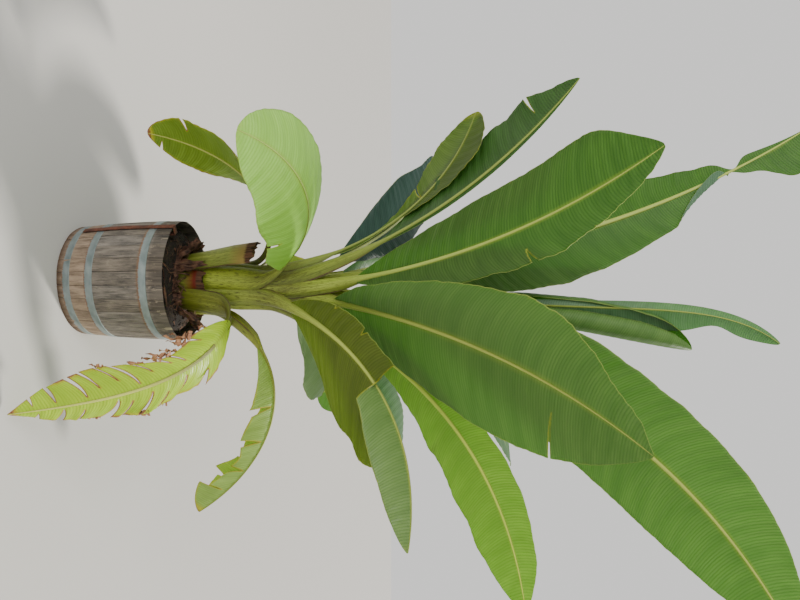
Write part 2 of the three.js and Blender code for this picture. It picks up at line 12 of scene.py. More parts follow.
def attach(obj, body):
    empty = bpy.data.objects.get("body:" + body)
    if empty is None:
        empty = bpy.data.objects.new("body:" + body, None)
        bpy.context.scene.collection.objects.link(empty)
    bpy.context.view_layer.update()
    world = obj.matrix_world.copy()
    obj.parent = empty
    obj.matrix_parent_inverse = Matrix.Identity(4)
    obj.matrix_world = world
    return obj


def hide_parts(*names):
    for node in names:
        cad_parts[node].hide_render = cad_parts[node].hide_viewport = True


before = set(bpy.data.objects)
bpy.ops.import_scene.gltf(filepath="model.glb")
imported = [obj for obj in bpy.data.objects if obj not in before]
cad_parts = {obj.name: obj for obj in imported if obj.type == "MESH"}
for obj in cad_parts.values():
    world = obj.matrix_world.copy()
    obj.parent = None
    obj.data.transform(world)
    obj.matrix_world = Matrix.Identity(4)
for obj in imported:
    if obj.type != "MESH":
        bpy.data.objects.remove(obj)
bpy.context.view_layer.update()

scene = bpy.context.scene

# The view: the picture was taken from standing height, three metres in front of the tub, with the
# camera turned on its side, so that the plant's top lies at the picture's right.
EYE = Vector((0.10, -3.05, 1.68))
PITCH = math.radians(1.4)  # how far the camera looks down
FOCAL_PIXELS = 601  # on a picture 800 pixels wide
PICTURE_WIDTH = 800
SENSOR = 36
lens = bpy.data.cameras.new("view")
lens.sensor_width = SENSOR
lens.lens = SENSOR * FOCAL_PIXELS / PICTURE_WIDTH
camera = bpy.data.objects.new("view", lens)
picture_right = Vector((0, math.sin(PITCH), math.cos(PITCH)))
picture_up = Vector((-1, 0, 0))
towards_eye = Vector((0, -math.cos(PITCH), math.sin(PITCH)))
turned = Matrix((picture_right, picture_up, towards_eye)).transposed().to_4x4()
camera.matrix_world = Matrix.Translation(EYE) @ turned
scene.collection.objects.link(camera)
scene.camera = camera


# Floor and light: a plain pale floor, an even pale sky, a broad soft sun behind the plant on its
# right, which shines through the blades, and a large soft light in front on the left.
def linear(colour):
    """A colour written as sRGB hex, as Blender's linear numbers."""
    parts = [int(colour[i:i + 2], 16) / 255 for i in (0, 2, 4)]
    return tuple(c / 12.92 if c <= 0.04045 else ((c + 0.055) / 1.055) ** 2.4 for c in parts) + (1,)


def add_node(tree, kind, inputs=None, **settings):
    """Adds a shader node with its settings, and with links, values or sRGB hex colours for its
    inputs. It gives the node's outputs."""
    node = tree.nodes.new("ShaderNode" + kind)
    for name, value in settings.items():
        setattr(node, name, value)
    for socket, value in (inputs or {}).items():
        if isinstance(value, bpy.types.NodeSocket):
            tree.links.new(value, node.inputs[socket])
        else:
            node.inputs[socket].default_value = linear(value) if isinstance(value, str) else value
    return node.outputs


def new_finish(name, build, *values):
    """A material whose nodes are made by build, which gives the shader of its surface."""
    finish = bpy.data.materials.new(name)
    finish.use_nodes = True
    finish.node_tree.nodes.clear()
    add = partial(add_node, finish.node_tree)
    add("OutputMaterial", {"Surface": build(add, *values)})
    return finish


def pale_floor(add):
    """Plain pale grey, without shine."""
    return add("BsdfPrincipled", {"Base Color": "b4b2ae", "Roughness": 0.9})[0]


FLOOR_SIZE = 40
floor_shape = bmesh.new()
bmesh.ops.create_grid(floor_shape, x_segments=1, y_segments=1, size=FLOOR_SIZE)
floor_mesh = bpy.data.meshes.new("floor")
floor_shape.to_mesh(floor_mesh)
floor_shape.free()
floor_mesh.materials.append(new_finish("pale floor", pale_floor))
floor = bpy.data.objects.new("floor", floor_mesh)
scene.collection.objects.link(floor)

sky = bpy.data.worlds.new("pale sky")
sky.use_nodes = True
sky.node_tree.nodes["Background"].inputs["Color"].default_value = linear("f0efed")
sky.node_tree.nodes["Background"].inputs["Strength"].default_value = 1.08
scene.world = sky


def add_light(name, kind, power, place, target, **settings):
    light = bpy.data.lights.new(name, kind)
    light.energy = power
    for setting, value in settings.items():
        setattr(light, setting, value)
    lamp = bpy.data.objects.new(name, light)
    lamp.location = place
    lamp.rotation_euler = (Vector(target) - Vector(place)).to_track_quat("-Z", "Y").to_euler()
    scene.collection.objects.link(lamp)


HEART = (0, 0, 1.4)
add_light("soft sun", "SUN", 5.2, (3.9, 2.9, 5.6), HEART, angle=math.radians(7), color=(1, 0.96, 0.88))
add_light("front light", "AREA", 330, (-3.5, -5.5, 4.5), HEART, size=4)


# Staves: 28 oak planks of a wine barrel cut in half, bowed and tapered to each other without glue.
# Years outdoors have turned them grey with dark streaks, pale where the surface flakes by the rim
# and warmer near the ground, where hoops kept the rain off.
TUB_HEIGHT = 0.515
RIM_RADIUS = 0.300
FOOT_RADIUS = 0.270
BELLY = 0.008
STAVES = 28
WALL = 0.026
STAVE_JOINT = 0.0008
STAVE_CORNER = 0.0018
STAVE_STAND = (-0.0012, 0.0006)  # how far in or out of the ring a stave stands
STAVE_DROP = 0.003  # how much lower than the rim a stave may end
STAVE_WEAR = 0.0006
STAVE_END = 0.01  # what is nearer than this to an end of a stave is cut level
SOILED_BELOW = 0.006  # how far below the rim the inside is black with soil
STAVE_ROWS = 18
SHARP_ANGLE = math.radians(38)


def stave_radius(z):
    cone = FOOT_RADIUS + (RIM_RADIUS - FOOT_RADIUS) * z / TUB_HEIGHT
    return cone + BELLY * math.sin(math.pi * z / TUB_HEIGHT)


def mix(a, b, share):
    return a + (b - a) * share


def ease(share):
    share = min(1, max(0, share))
    return share * share * (3 - 2 * share)


def around(radius, angle, z):
    return Vector((radius * math.cos(angle), radius * math.sin(angle), z))


def noise_at(x, y, z):
    return noise.noise(Vector((x, y, z)))


def new_shape(*layers):
    """An empty shape with a surface map and layers of numbers, and then these."""
    shape = bmesh.new()
    surface = shape.loops.layers.uv.new("surface")
    return [shape, surface] + [shape.verts.layers.float.new(layer) for layer in layers]


def faces_of(verts):
    return list({face for vert in verts for face in vert.link_faces})


def round_corners(shape, limit, radius):
    """Rounds the edges whose faces meet at more than the limit, in degrees."""
    shape.normal_update()
    corners = [e for e in shape.edges if e.is_manifold and e.calc_face_angle(0) > math.radians(limit)]
    bmesh.ops.bevel(
        shape, geom=corners, offset=radius, segments=2, profile=0.5, affect="EDGES", material=-1)


def place_piece(name, shape, finishes, nodes=(), turn_faces=True):
    """Makes a finished shape a piece that stands with the tub, in place of the nodes. Its faces are
    turned outwards, if they aren't yet."""
    if turn_faces:
        bmesh.ops.recalc_face_normals(shape, faces=shape.faces)
    mesh = bpy.data.meshes.new(name)
    shape.to_mesh(mesh)
    shape.free()
    for finish in finishes:
        mesh.materials.append(finish)
    mesh.shade_smooth()
    mesh.set_sharp_from_angle(angle=SHARP_ANGLE)
    piece = bpy.data.objects.new(name, mesh)
    scene.collection.objects.link(piece)
    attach(piece, "root")
    if nodes:
        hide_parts(*nodes)
    return piece


def stave_planks():
    shape, surface, tint, inner = new_shape("tint", "inner")
    chance = random.Random(28)
    width = 2 * math.pi * RIM_RADIUS / STAVES
    half_joint = STAVE_JOINT / (2 * RIM_RADIUS)
    for k in range(STAVES):
        before = set(shape.verts)
        plank = bmesh.ops.create_grid(shape, x_segments=4, y_segments=STAVE_ROWS, size=0.5)["verts"]
        faces = faces_of(plank)
        shade = chance.random()
        stand = chance.uniform(*STAVE_STAND)
        lift = chance.uniform(-STAVE_DROP, 0)
        shift = chance.uniform(0, 9)
        for face in faces:
            for loop in face.loops:
                place = loop.vert.co
                loop[surface].uv = (place.x * width + shift, place.y * TUB_HEIGHT + shift)
        for vert in plank:
            across, up = vert.co.x, vert.co.y + 0.5
            vert[tint] = shade
            z = up * (TUB_HEIGHT + lift)
            turn = 2 * math.pi / STAVES * (k + across) - 2 * across * half_joint
            wear = STAVE_WEAR * noise_at(turn * 60, z * 5, k)
            vert.co = around(stave_radius(z) + stand + wear, turn, z)
        bmesh.ops.solidify(shape, geom=faces, thickness=WALL)
        for vert in {v for v in shape.verts if v not in before}:
            if vert.co.z < STAVE_END:
                vert.co.z = 0
            elif vert.co.z > TUB_HEIGHT - STAVE_END:
                vert.co.z = TUB_HEIGHT + lift
    round_corners(shape, 60, STAVE_CORNER)
    for vert in shape.verts:
        inside = vert.co.xy.length < stave_radius(vert.co.z) - 0.8 * WALL
        vert[inner] = 1 if inside and vert.co.z < TUB_HEIGHT - SOILED_BELOW else 0
    return shape


def weathered_oak(add):
    """Bare oak greyed by rain: fine raised grain with dark streaks between, dull all over."""
    surface = add("UVMap", uv_map="surface")[0]
    fine, streak, flake = (
        add("TexNoise", {
            "Vector": add("Mapping", {"Vector": surface, "Scale": scale})[0],
            "Scale": 1, "Detail": detail, "Roughness": rough})[0]
        for scale, detail, rough in (((420, 9, 1), 3, 0.5), ((30, 6, 1), 8, 0.7), ((38, 17, 1), 6, 0.7))
    )
    tint = add("Attribute", attribute_name="tint")["Fac"]
    height = add("SeparateXYZ", {0: add("TexCoord")["Object"]})["Z"]
    dark = add("MapRange", {0: streak, 1: 0.36, 2: 0.62})[0]
    grey = add("Mix", {0: dark, 6: "464340", 7: "857d74"}, data_type="RGBA")[2]
    raised = add("MapRange", {0: fine, 1: 0.52, 2: 0.68, 4: 0.5})[0]
    grained = add("Mix", {0: raised, 6: grey, 7: "b4ab9e"}, data_type="RGBA")[2]
    plank = add("Mix", {0: tint, 6: "e2dcd2", 7: "ffffff"}, data_type="RGBA")[2]
    colour = add("Mix", {0: 0.9, 6: grained, 7: plank}, data_type="RGBA", blend_type="MULTIPLY")[2]
    # browner above the upper hoop, where the surface flakes pale
    band = add("MapRange", {0: height, 1: 0.425, 2: 0.45, 4: 0.65})[0]
    browned = add("Mix", {0: band, 6: colour, 7: "7b6b5c"}, data_type="RGBA", blend_type="MULTIPLY")[2]
    flaking = add("MapRange", {0: flake, 1: 0.57, 2: 0.66})[0]
    near_rim = add("MapRange", {0: height, 1: 0.38, 2: 0.50, 3: 0.2, 4: 0.85})[0]
    pale = add("Math", {0: flaking, 1: near_rim}, operation="MULTIPLY")[0]
    # fresher wood between the two lower hoops, and a damp dark foot
    low = add("MapRange", {0: height, 1: 0.160, 2: 0.136, 4: 0.7})[0]
    warm = add("Mix", {0: dark, 6: "6b5846", 7: "ad957c"}, data_type="RGBA")[2]
    foot = add("MapRange", {0: height, 1: 0.035, 2: 0.005, 4: 0.8})[0]
    # rust runs down from the upper hoop, and soil has blackened the inside
    below = add("MapRange", {0: height, 1: 0.384, 2: 0.396, 4: 0.6})[0]
    above = add("MapRange", {0: height, 1: 0.402, 2: 0.398})[0]
    run = add("Math", {0: below, 1: above}, operation="MULTIPLY")[0]
    soiled = add("MapRange", {0: add("Attribute", attribute_name="inner")["Fac"], 4: 0.85})[0]
    for mask, over in (
            (band, browned), (pale, "b3a48d"), (low, warm), (foot, "4a3524"), (run, "7d5a3a"),
            (soiled, "1d1814")):
        colour = add("Mix", {0: mask, 6: colour, 7: over}, data_type="RGBA")[2]
    relief = add("Math", {0: fine, 1: streak}, operation="ADD")[0]
    bump = add("Bump", {"Height": relief, "Strength": 0.6, "Distance": 0.0012})[0]
    return add("BsdfPrincipled", {"Base Color": colour, "Roughness": 0.88, "Normal": bump, "IOR": 1.45})[0]


oak = new_finish("weathered oak", weathered_oak)
place_piece("staves", stave_planks(), [oak], ["tub_staves"])


# Tub head: oak boards let in across the foot of the staves. It lies under the tub, out of sight,
# so the part's own disc stays and takes the wood's finish.
BOARD_WIDTH = 0.09
WAVE_METRE = 0.314  # a wave texture of scale 1 repeats at this many metres


def head_boards(add):
    """Sawn oak boards side by side: straight grain and dark joints, damp and dull."""
    place = add("TexCoord")["Object"]
    grain = add("Mapping", {"Vector": place, "Scale": (160, 6, 6)})[0]
    fine = add("TexNoise", {"Vector": grain, "Scale": 1, "Detail": 4})[0]
    joints = add("TexWave", {"Vector": place, "Scale": WAVE_METRE / BOARD_WIDTH}, bands_direction="X")[1]
    joint = add("MapRange", {0: joints, 1: 0.02, 2: 0.0})[0]
    wood = add("Mix", {0: fine, 6: "5a4936", 7: "947d60"}, data_type="RGBA")[2]
    dark = add("Mix", {0: joint, 6: wood, 7: "1f1710"}, data_type="RGBA")[2]
    bump = add("Bump", {"Height": fine, "Strength": 0.4, "Distance": 0.001})[0]
    return add("BsdfPrincipled", {"Base Color": dark, "Roughness": 0.85, "Normal": bump})[0]


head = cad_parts["tub_head"]
for slot_of_head in head.material_slots:
    slot_of_head.material = new_finish("oak head boards", head_boards)


# Hoops: three flat bands of galvanised steel, driven down over the cone of the staves and closed
# by two rivets through a lapped joint. The zinc has gone dull, and rust creeps from the lower edge.
HOOPS = {  # the height of its middle, its width, and the azimuth of its lapped joint
    "hoop_upper": (0.415, 0.039, 118),
    "hoop_lower": (0.156, 0.040, 62),
    "hoop_foot": (0.045, 0.038, 95),
}
HOOP_THICKNESS = 0.003
HOOP_CLEARANCE = 0.0004
HOOP_STEPS = 112
LAP_ARC = 0.075
LAP_THICKNESS = 0.0016
LAP_INSET = 0.002  # how much narrower than the band its outer end is
RIVET_RADIUS = 0.0055
RIVET_FLATNESS = 0.45
RIVET_RISE = 0.0014


def turn_round(shape, outline, steps, closed=False):
    """Turns an outline of radii and heights once round the tub's axis."""
    verts = [shape.verts.new((radius, 0, z)) for radius, z in outline]
    ahead = verts[1:] + verts[:1] if closed else verts[1:]
    edges = [shape.edges.new(pair) for pair in zip(verts, ahead)]
    bmesh.ops.spin(
        shape, geom=verts + edges, axis=(0, 0, 1), angle=2 * math.pi, steps=steps, use_merge=True)
    bmesh.ops.remove_doubles(shape, verts=shape.verts, dist=1e-5)


def wrap_surface(shape, surface, low, high):
    """Lays a surface map round the tub: metres round it, and 0 to 1 from the low to the high edge."""
    for face in shape.faces:
        middle = face.calc_center_median()
        facing = math.atan2(middle.y, middle.x)
        for loop in face.loops:
            place = loop.vert.co
            turn = math.remainder(math.atan2(place.y, place.x) - facing, 2 * math.pi)
            loop[surface].uv = ((facing + turn) * RIM_RADIUS, (place.z - low) / (high - low))


def hoop_band(z, height, lap):
    shape, surface = new_shape()
    low, high = z - height / 2, z + height / 2
    corner = HOOP_THICKNESS / 3
    inside = lambda level: stave_radius(level) + HOOP_CLEARANCE
    outside = lambda level: inside(level) + HOOP_THICKNESS
    outline = [
        (inside(low), low), (outside(low) - corner, low), (outside(low), low + corner), (outside(z), z),
        (outside(high), high - corner), (outside(high) - corner, high), (inside(high), high),
    ]
    turn_round(shape, outline, HOOP_STEPS, closed=True)
    # the lap: the band's outer end lies over its inner one
    end = bmesh.ops.create_grid(shape, x_segments=8, y_segments=3, size=0.5)["verts"]
    for vert in end:
        turn = math.radians(lap) + vert.co.x * LAP_ARC / RIM_RADIUS
        level = z + vert.co.y * (height - LAP_INSET)
        rise = LAP_THICKNESS * ease(4 * (0.5 + vert.co.x))
        vert.co = around(outside(level) + rise, turn, level)
    bmesh.ops.solidify(shape, geom=faces_of(end), thickness=LAP_THICKNESS)
    for step in (-1, 1):
        rivet = bmesh.ops.create_uvsphere(shape, u_segments=12, v_segments=8, radius=RIVET_RADIUS)["verts"]
        turn = math.radians(lap) + step * LAP_ARC / 5 / RIM_RADIUS
        bmesh.ops.scale(shape, vec=(RIVET_FLATNESS, 1, 1), verts=rivet)
        bmesh.ops.rotate(shape, matrix=Matrix.Rotation(turn, 3, "Z"), verts=rivet)
        bmesh.ops.translate(shape, vec=around(outside(z) + RIVET_RISE, turn, z), verts=rivet)
    wrap_surface(shape, surface, low, high)
    return shape


def galvanised_steel(add):
    """Hot-dipped zinc gone dull: pale blue-grey and cloudy, with brown rust along the lower edge."""
    surface = add("UVMap", uv_map="surface")[0]
    clouds = add("Mapping", {"Vector": surface, "Scale": (12, 0.9, 1)})[0]
    runs = add("Mapping", {"Vector": surface, "Scale": (95, 0.8, 1)})[0]
    cloud = add("TexNoise", {"Vector": clouds, "Scale": 1, "Detail": 5})[0]
    run = add("TexNoise", {"Vector": runs, "Scale": 1, "Detail": 4})[0]
    across = add("SeparateXYZ", {0: surface})["Y"]
    dull = add("MapRange", {0: cloud, 1: 0.32, 2: 0.68})[0]
    zinc = add("Mix", {0: dull, 6: "6e7c7c", 7: "96a09f"}, data_type="RGBA")[2]
    edge = add("MapRange", {0: across, 1: 0.35, 2: 0.0})[0]
    reach = add("Math", {0: edge, 1: run}, operation="MULTIPLY")[0]
    rust = add("MapRange", {0: reach, 1: 0.24, 2: 0.46})[0]
    rusted = add("Mix", {0: rust, 6: zinc, 7: "7a5234"}, data_type="RGBA")[2]
    metal = add("MapRange", {0: rust, 3: 0.55, 4: 0.05})[0]
    rough = add("MapRange", {0: cloud, 3: 0.42, 4: 0.66})[0]
    bump = add("Bump", {"Height": cloud, "Strength": 0.25, "Distance": 0.001})[0]
    return add(
        "BsdfPrincipled", {"Base Color": rusted, "Metallic": metal, "Roughness": rough, "Normal": bump})[0]


zinc_band = new_finish("galvanised steel", galvanised_steel)
for hoop, measures in HOOPS.items():
    place_piece(hoop + "_band", hoop_band(*measures), [zinc_band], [hoop])


# Straps: two flat bars of iron that hook over the rim and hang down outside the hoops, to lift
# the tub by. They have rusted through and through to a dull red-brown.
STRAP_WIDTH = 0.030
STRAP_THICKNESS = 0.004
STRAP_FOOT = 0.070
STRAP_BEND = 0.280
STRAP_HOOK = 0.038
STRAP_STANDOFF = 0.005
STRAP_CORNER = 0.001
RIM_CLEARANCE = 0.0003
HOOK_CLEARANCE = 0.003
STRAPS = {"strap_front_left": -146, "strap_back_right": 34}


def strap_bar(azimuth):
    shape = bmesh.new()
    out = lambda z: stave_radius(z) + HOOP_THICKNESS + STRAP_STANDOFF
    foot, bend, lip, end = STRAP_FOOT, STRAP_BEND, TUB_HEIGHT + RIM_CLEARANCE, TUB_HEIGHT - STRAP_HOOK
    hook = stave_radius(TUB_HEIGHT) - WALL - HOOK_CLEARANCE
    thick = STRAP_THICKNESS
    section = [
        (out(foot), foot), (out(foot) + thick, foot), (out(bend) + thick, bend),
        (out(lip) + thick, lip + thick), (hook - thick, lip + thick), (hook - thick, end),
        (hook, end), (hook, lip), (out(lip), lip), (out(bend), bend),
    ]
    verts = [shape.verts.new((radius, -STRAP_WIDTH / 2, z)) for radius, z in section]
    side = shape.faces.new(verts)
    pulled = bmesh.ops.extrude_face_region(shape, geom=[side])["geom"]
    moved = [g for g in pulled if isinstance(g, bmesh.types.BMVert)]
    bmesh.ops.translate(shape, vec=(0, STRAP_WIDTH, 0), verts=moved)
    bmesh.ops.recalc_face_normals(shape, faces=shape.faces)
    round_corners(shape, 50, STRAP_CORNER)
    to_place = Matrix.Rotation(math.radians(azimuth), 3, "Z")
    bmesh.ops.rotate(shape, matrix=to_place, verts=shape.verts)
    return shape


def rusty_iron(add):
    """Bare iron under a crust of old rust: red-brown with dark scale, pitted and without shine."""
    place = add("TexCoord")["Object"]
    crust = add("TexNoise", {"Vector": place, "Scale": 70, "Detail": 8, "Roughness": 0.7})
    scale = add("TexNoise", {"Vector": place, "Scale": 14, "Detail": 3})[0]
    crumbs = add("MapRange", {0: crust[0], 1: 0.35, 2: 0.65})[0]
    red = add("Mix", {0: crumbs, 6: "41241a", 7: "7d4a34"}, data_type="RGBA")[2]
    black = add("MapRange", {0: scale, 1: 0.5, 2: 0.7, 4: 0.7})[0]
    mixed = add("Mix", {0: black, 6: red, 7: "2c1d18"}, data_type="RGBA")[2]
    bump = add("Bump", {"Height": crust[0], "Strength": 0.7, "Distance": 0.0015})[0]
    return add(
        "BsdfPrincipled", {"Base Color": mixed, "Roughness": 0.85, "Metallic": 0.15, "Normal": bump})[0]


rust_crust = new_finish("rusty iron", rusty_iron)
for strap, azimuth in STRAPS.items():
    place_piece(strap + "_bar", strap_bar(azimuth), [rust_crust], [strap])


# Soil: dark potting soil that has sunk a hand's breadth below the rim, crumbly on top, and lower
# along the staves where water runs off.
SOIL_FOOT = 0.0303
SOIL_EDGE = 0.455
SOIL_HEART = 0.505
SOIL_HEART_RADIUS = 0.215
SOIL_STEPS = 120
SOIL_RINGS = 44
SOIL_SHOULDER = 0.03  # how far inside the heart's edge the fall begins
SOIL_FALL = 1.6  # above 1, it falls mostly near the staves
SOIL_SUNK = 0.004
SOIL_CLEARANCE = 0.0008
CRUMBLES = ((0.007, 18), (0.004, 55), (0.002, 130))  # how high the lumps are, and how close
CLODS = 420
CLOD_RADII = (0.003, 0.009)
BESIDE_WALL = 0.012  # how near to the staves loose things may lie


def soil_level(radius, turn):
    """The crumbly height of the soil at a place."""
    inner = SOIL_HEART_RADIUS - SOIL_SHOULDER
    edge = stave_radius(SOIL_EDGE) - WALL
    slope = min(1, max(0, (radius - inner) / (edge - inner)))
    level = mix(SOIL_HEART, SOIL_EDGE, slope ** SOIL_FALL)
    place = around(radius, turn, 0)
    return level - SOIL_SUNK + sum(size * noise.noise(place * pitch) for size, pitch in CRUMBLES)


def soil_body():
    shape = bmesh.new()
    wall = lambda z: stave_radius(z) - WALL - SOIL_CLEARANCE
    side = [(wall(z), z) for z in (SOIL_FOOT, 0.15, 0.25, 0.35, SOIL_EDGE - 0.02)]
    rim = wall(SOIL_EDGE)
    top = [(rim * (1 - k / SOIL_RINGS), SOIL_EDGE) for k in range(SOIL_RINGS + 1)]
    turn_round(shape, [(0, SOIL_FOOT)] + side + top, SOIL_STEPS)
    for vert in shape.verts:
        if vert.co.z > SOIL_EDGE - 1e-4:
            vert.co.z = soil_level(vert.co.xy.length, math.atan2(vert.co.y, vert.co.x))
    chance = random.Random(7)
    for k in range(CLODS):
        size = chance.uniform(*CLOD_RADII)
        clod = bmesh.ops.create_icosphere(shape, subdivisions=1, radius=size)["verts"]
        turn = chance.uniform(-math.pi, math.pi)
        radius = mix(0.10, rim - BESIDE_WALL, math.sqrt(chance.random()))
        for vert in clod:
            vert.co *= 1 + 0.45 * noise.noise(vert.co * 160 + Vector((k, 0, 0)))
        bmesh.ops.scale(shape, vec=(1, chance.uniform(0.6, 1), chance.uniform(0.5, 0.8)), verts=clod)
        rolled = Matrix.Rotation(chance.uniform(0, 6), 3, "Z")
        bmesh.ops.rotate(shape, matrix=rolled, verts=clod)
        bmesh.ops.translate(shape, vec=around(radius, turn, soil_level(radius, turn)), verts=clod)
    return shape


def potting_soil(add):
    """Moist peat and bark: nearly black-brown with paler dry crumbs, rough and without shine."""
    place = add("TexCoord")["Object"]
    crumbs = add("TexNoise", {"Vector": place, "Scale": 120, "Detail": 6, "Roughness": 0.7})
    patches = add("TexNoise", {"Vector": place, "Scale": 11, "Detail": 3})[0]
    dry = add("MapRange", {0: crumbs[0], 1: 0.42, 2: 0.68})[0]
    damp = add("MapRange", {0: patches, 1: 0.4, 2: 0.62, 3: 0.15, 4: 0.95})[0]
    share = add("Math", {0: dry, 1: damp}, operation="MULTIPLY")[0]
    colour = add("Mix", {0: share, 6: "150f0b", 7: "4a382a"}, data_type="RGBA")[2]
    bump = add("Bump", {"Height": crumbs[0], "Strength": 0.9, "Distance": 0.003})[0]
    return add("BsdfPrincipled", {"Base Color": colour, "Roughness": 0.95, "Normal": bump})[0]


place_piece("soil_fill", soil_body(), [new_finish("potting soil", potting_soil)], ["soil"])


# False trunk: what looks like a trunk is a sheaf of leaf bases wrapped round one another. This is
# its core of old ones, seen only in the gaps between those that clasp it.
TRUNK_FOOT = 0.5053
TRUNK_TOP = 1.060
TRUNK_FOOT_RADIUS = 0.084
TRUNK_WAIST_RADIUS = 0.096
TRUNK_TOP_RADIUS = 0.084
TRUNK_FLARE = 0.010
FOOT_MIDDLE = (0.012, 0.045)
HEAD_MIDDLE = (0.040, 0)
CORE_TOP = 0.99
CORE_INSET = 0.005
DOME_FROM = 0.9
DOME_RISE = 0.11
CORE_ROWS = 40
CORE_STEPS = 72


def trunk_share(z):
    return (z - TRUNK_FOOT) / (TRUNK_TOP - TRUNK_FOOT)


def trunk_centre(z):
    share = trunk_share(z)
    x, y = (mix(foot, head, share) for foot, head in zip(FOOT_MIDDLE, HEAD_MIDDLE))
    return Vector((x, y, z))


def trunk_radius(z):
    share = min(1, max(0, trunk_share(z)))
    if share < 0.5:
        taper = mix(TRUNK_FOOT_RADIUS, TRUNK_WAIST_RADIUS, share * 2)
    else:
        taper = mix(TRUNK_WAIST_RADIUS, TRUNK_TOP_RADIUS, share * 2 - 1)
    return taper + TRUNK_FLARE * (1 - share) ** 6


def trunk_core():
    shape, surface = new_shape()
    heights = [mix(TRUNK_FOOT, CORE_TOP, k / CORE_ROWS) for k in range(CORE_ROWS + 1)]
    turn_round(shape, [(1, z) for z in heights], CORE_STEPS)
    for vert in shape.verts:
        z = vert.co.z
        turn = math.atan2(vert.co.y, vert.co.x)
        dome = math.sqrt(1 - (max(0, z - DOME_FROM) / DOME_RISE) ** 2)
        folds = 0.004 * noise_at(turn * 3.2, z * 1.5, 2) + 0.0012 * noise_at(turn * 17, z * 4, 5)
        radius = (trunk_radius(z) - CORE_INSET + folds) * dome
        vert.co = trunk_centre(z) + around(radius, turn, 0)
    bmesh.ops.holes_fill(shape, edges=shape.edges, sides=0)
    wrap_surface(shape, surface, TRUNK_FOOT, TRUNK_FOOT + 1)
    return shape


def leaf_base_flesh(add, fresh, shade, rib, blush, spots):
    """Wet fleshy leaf base: pale green with long streaks, sooty spots, dark margins, brown where cut, and
    painted shade on its sides and where it forks from the trunk.
    """
    surface = add("UVMap", uv_map="surface")[0]
    place = add("SeparateXYZ", {0: surface})
    streak, wash, fleck = (
        add("TexNoise", {
            "Vector": add("Mapping", {"Vector": surface, "Scale": scale})[0],
            "Scale": 1, "Detail": detail, "Roughness": rough})[0]
        for scale, detail, rough in (((46, 3.5, 1), 4, 0.5), ((9, 2.2, 1), 3, 0.5), ((60, 28, 1), 5, 0.65))
    )
    fibre = add("MapRange", {0: streak, 1: 0.36, 2: 0.64})[0]
    washed = add("MapRange", {0: wash, 1: 0.45, 2: 0.7, 4: 0.4})[0]
    # soot spots gather low on the base and where it forks from the trunk, and painted shade darkens the
    # crotch where it forks
    thinning = add("MapRange", {0: place["Y"], 1: 1.2, 2: 0.2, 4: 0.07})[0]
    fork = add("Attribute", attribute_name="fork")["Fac"]
    sprinkled = add("Math", {0: fleck, 1: thinning}, operation="ADD")[0]
    spotting = add("Math", {0: fork, 1: 0.05, 2: sprinkled}, operation="MULTIPLY_ADD")[0]
    soot = add("MapRange", {0: spotting, 1: 0.60, 2: 0.68, 4: spots})[0]
    # painted shade of the crotch: patchy dark olive where the stalk forks from the trunk
    fork_shade_patches = add("MapRange", {0: wash, 1: 0.38, 2: 0.62, 3: 0.2, 4: 0.75})[0]
    fork_shade = add("Math", {0: fork_shade_patches, 1: fork}, operation="MULTIPLY")[0]
    far = add("MapRange", {0: place["Y"], 1: 0.6, 2: 0.95, 4: 0.8})[0]
    to_middle = add("Math", {0: place["X"], 1: 0.5}, operation="SUBTRACT")[0]
    off_middle = add("Math", {0: to_middle}, operation="ABSOLUTE")[0]
    # painted shade: the flesh darkens to olive from the middle towards the margins, where the rounded sides
    # of a stalk turn away from the light
    beside = add("MapRange", {0: off_middle, 1: 0.2, 2: 0.5, 4: 0.75})[0]
    # stains climb the base from the soil
    ragged = add("Math", {0: streak, 1: 0.16, 2: place["Y"]}, operation="MULTIPLY_ADD")[0]
    low = add("MapRange", {0: ragged, 1: 0.26, 2: 0.12, 4: 0.75})[0]
    foot = add("MapRange", {0: ragged, 1: 0.125, 2: 0.085, 4: 0.85})[0]
    # the margins of a base dry to a dark line, and a cut one dries from its top
    wavering = add("Math", {0: fleck, 1: 0.07, 2: off_middle}, operation="MULTIPLY_ADD")[0]
    at_edge = add("MapRange", {0: wavering, 1: 0.472, 2: 0.505})[0]
    clasp = add("Attribute", attribute_name="clasp")["Fac"]
    line = add("Math", {0: at_edge, 1: clasp}, operation="MULTIPLY")[0]
    dry = add("Attribute", attribute_name="dry")["Fac"]
    crisp = add("Math", {0: fleck, 1: 0.3, 2: dry}, operation="MULTIPLY_ADD")[0]
    flush = add("MapRange", {0: crisp, 1: 0.3, 2: 0.8})[0]
    dead = add("MapRange", {0: crisp, 1: 0.86, 2: 0.94})[0]
    brown = add("Mix", {0: fibre, 6: "2e1a13", 7: "6d4a34"}, data_type="RGBA")[2]
    colour = add("Mix", {0: fibre, 6: shade, 7: fresh}, data_type="RGBA")[2]
    # layers of colour, among them painted shade at the fork and on the sides (46431a, 56601a)
    for mask, over in (
            (washed, "b4bd55"), (soot, "3b3220"), (fork_shade, "46431a"), (far, rib), (beside, "56601a"),
            (low, "5f6414"), (foot, "3f2a1a"), (line, "4a3a22"), (flush, blush), (dead, brown)):
        colour = add("Mix", {0: mask, 6: colour, 7: over}, data_type="RGBA")[2]
    rough = add("MapRange", {0: dead, 3: 0.55, 4: 0.85})[0]
    bump = add("Bump", {"Height": streak, "Strength": 0.45, "Distance": 0.002})[0]
    return add("BsdfPrincipled", {
        "Base Color": colour, "Roughness": rough, "Normal": bump, "IOR": 1.42, "Subsurface Weight": 0.08,
        "Subsurface Radius": (0.01, 0.012, 0.004), "Subsurface Scale": 0.5})[0]


core_flesh = new_finish(
    "old leaf base flesh", leaf_base_flesh, "7f8a3e", "4c5a22", "7f8a3e", "8a7a35", 0.75)
place_piece("trunk_core", trunk_core(), [core_flesh], ["false_trunk"])


